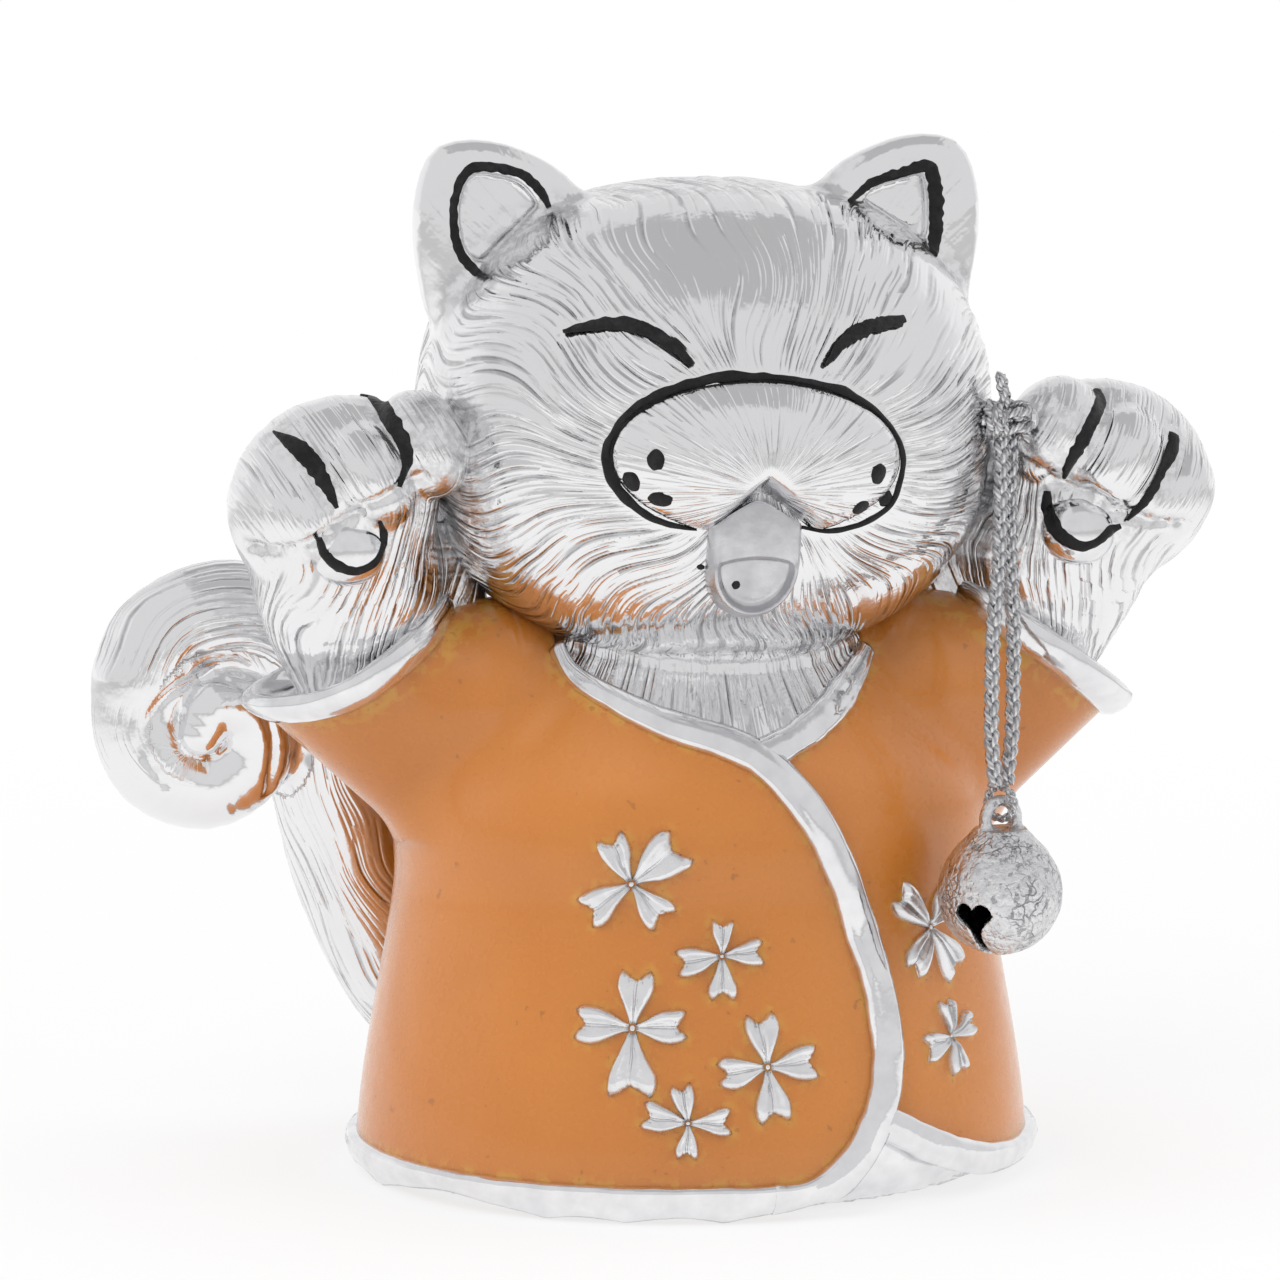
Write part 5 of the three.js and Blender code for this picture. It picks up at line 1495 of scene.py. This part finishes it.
def cord():
    tree, keys = plait_tree()
    way = np.cross(BELL_WAY, [0, 0, 1.0])
    t = np.linspace(-0.05, 1.02, 40)[:, None]
    spread = CORD_DIAMETER / 2 + 0.9 * ramp(t, 0.25, 0.62) - 0.75 * ramp(t, 0.84, 1.04)
    for word, side in SIDES.items():
        path = STRAND_TOP + (STRAND_FOOT - STRAND_TOP) * t - side * spread * way
        made = plaited(f"{word}_strand", path, "cord", [f"cord_{word}_strand"], tree, keys, PLAIT)
    turns = np.linspace(0, 2 * np.pi, 40)
    loop = np.outer(np.cos(turns), [0, 0, 1.0]) + np.outer(np.sin(turns), BELL_WAY)
    loop = BELL_EYE + [0, 0, 1.5] + 1.5 * loop
    plaited("bell_hitch", loop, "cord", ["cord_hitch"], tree, keys, HITCH_PLAIT)
    plaited("knot_wraps", knot_path(), "knot", ["cord_knot"], tree, keys, PLAIT | {"steps": 420})


# Light, floor and camera

def stage():
    corners = [(x * FLOOR_SIZE, y * FLOOR_SIZE, 0) for x, y in ((-1, -1), (1, -1), (1, 1), (-1, 1))]
    mesh = bpy.data.meshes.new("floor")
    mesh.from_pydata(corners, [], [[0, 1, 2, 3]])
    mesh.shade_smooth()
    floor = bpy.data.objects.new("floor", mesh)
    bpy.context.scene.collection.objects.link(floor)
    look, tree, shader, spot = finish("white_sweep", Roughness=0.9, Specular_IOR_Level=0.0)
    shader["Base Color"].default_value = FLOOR_GREY
    light = tree.nodes.new("ShaderNodeLightPath").outputs
    shown = maths(tree, "ADD", light["Is Camera Ray"], light["Is Glossy Ray"], clamp=True)
    shown = maths(tree, "MAXIMUM", shown, light["Is Transmission Ray"])
    far = place(tree, "ShaderNodeVectorMath", {0: spot}, operation="LENGTH").outputs["Value"]
    behind = between(tree, parts_of(tree, spot)[1], 0.1, 0.6)
    table = maths(tree, "MAXIMUM", between(tree, far, 0.5, 0.12),
                  maths(tree, "MAXIMUM", behind, light["Is Camera Ray"]))
    tone = mixed(tree, table, FLOOR_MIRROR, WHITE)
    glow = place(tree, "ShaderNodeEmission", {"Color": tone, "Strength": 1.0})
    share = times(tree, shown, between(tree, far, 0.06, 0.3, 0.72, 1.0))
    matt = tree.nodes["Principled BSDF"].outputs[0]
    both = place(tree, "ShaderNodeMixShader", {0: share, 1: matt, 2: glow.outputs[0]})
    tree.links.new(both.outputs[0], tree.nodes["Material Output"].inputs[0])
    mesh.materials.append(look)


def studio():
    world = bpy.data.worlds.new("studio")
    bpy.context.scene.world = world
    world.use_nodes = True
    tree = world.node_tree
    light = tree.nodes.new("ShaderNodeLightPath").outputs
    way = parts_of(tree, tree.nodes.new("ShaderNodeTexCoord").outputs["Generated"])
    aside = maths(tree, "ABSOLUTE", maths(tree, "SUBTRACT", way["X"], 0.12))
    depth = maths(tree, "ABSOLUTE", way["Y"])
    card = times(tree, between(tree, aside, 0.42, 0.3), between(tree, depth, 0.58, 0.5))
    card = times(tree, card, between(tree, way["Z"], 0.2, 0.4))
    behind = times(tree, between(tree, way["Y"], 0.15, 0.6), between(tree, way["Z"], 0.65, 0.3))
    haze = mixed(tree, behind, HAZE, BACK_HAZE)
    mirror = mixed(tree, card, haze, CARD)
    glossy = maths(tree, "MAXIMUM", light["Is Glossy Ray"], light["Is Transmission Ray"])
    colour = mixed(tree, glossy, SOFT_LIGHT, mirror)
    colour = mixed(tree, light["Is Camera Ray"], colour, WHITE)
    wire(tree, colour, tree.nodes["Background"].inputs["Color"])
    tree.nodes["Background"].inputs["Strength"].default_value = 1.0
    for name, spot, size, power in LAMPS:
        lamp = bpy.data.lights.new(name, "AREA")
        lamp.size = size
        lamp.energy = power
        made = bpy.data.objects.new(name, lamp)
        made.location = spot
        made.visible_glossy = False
        made.rotation_euler = (Vector((0, 0, 0.05)) - Vector(spot)).to_track_quat("-Z", "Y").to_euler()
        bpy.context.scene.collection.objects.link(made)


def camera():
    data = bpy.data.cameras.new("camera")
    data.sensor_width = 36.0
    data.sensor_fit = "HORIZONTAL"
    data.lens = data.sensor_width * VIEW_REACH * PHOTO_SCALE / PHOTO_SIZE
    data.clip_start = 0.01
    made = bpy.data.objects.new("camera", data)
    made.location = EYE_POINT * MM
    made.rotation_euler = Vector(VIEW_BACK).to_track_quat("Z", "Y").to_euler()
    bpy.context.scene.collection.objects.link(made)
    bpy.context.scene.camera = made


def dress_nodes():
    """Finishes for the CAD nodes that stay as they are."""
    looks = {"neck_dowel": RESIN, "right_arm_dowel": RESIN, "left_arm_dowel": RESIN, "tail_dowel": RESIN,
             "base_plate": RESIN, "base_felt": FELT, "cord_peg": WORN, "bell_pellet": ANTIQUE}
    for node, look in looks.items():
        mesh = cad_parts[node].data
        mesh.materials.clear()
        mesh.materials.append(look)


camera()
cord()
bell()
coat(blossoms())
core()
bib()
edgings()
cuffs()
head()
muzzle()
tongue()
arms()
tail()
paint()
dress_nodes()
stage()
studio()
bpy.context.scene.view_settings.view_transform = "Standard"
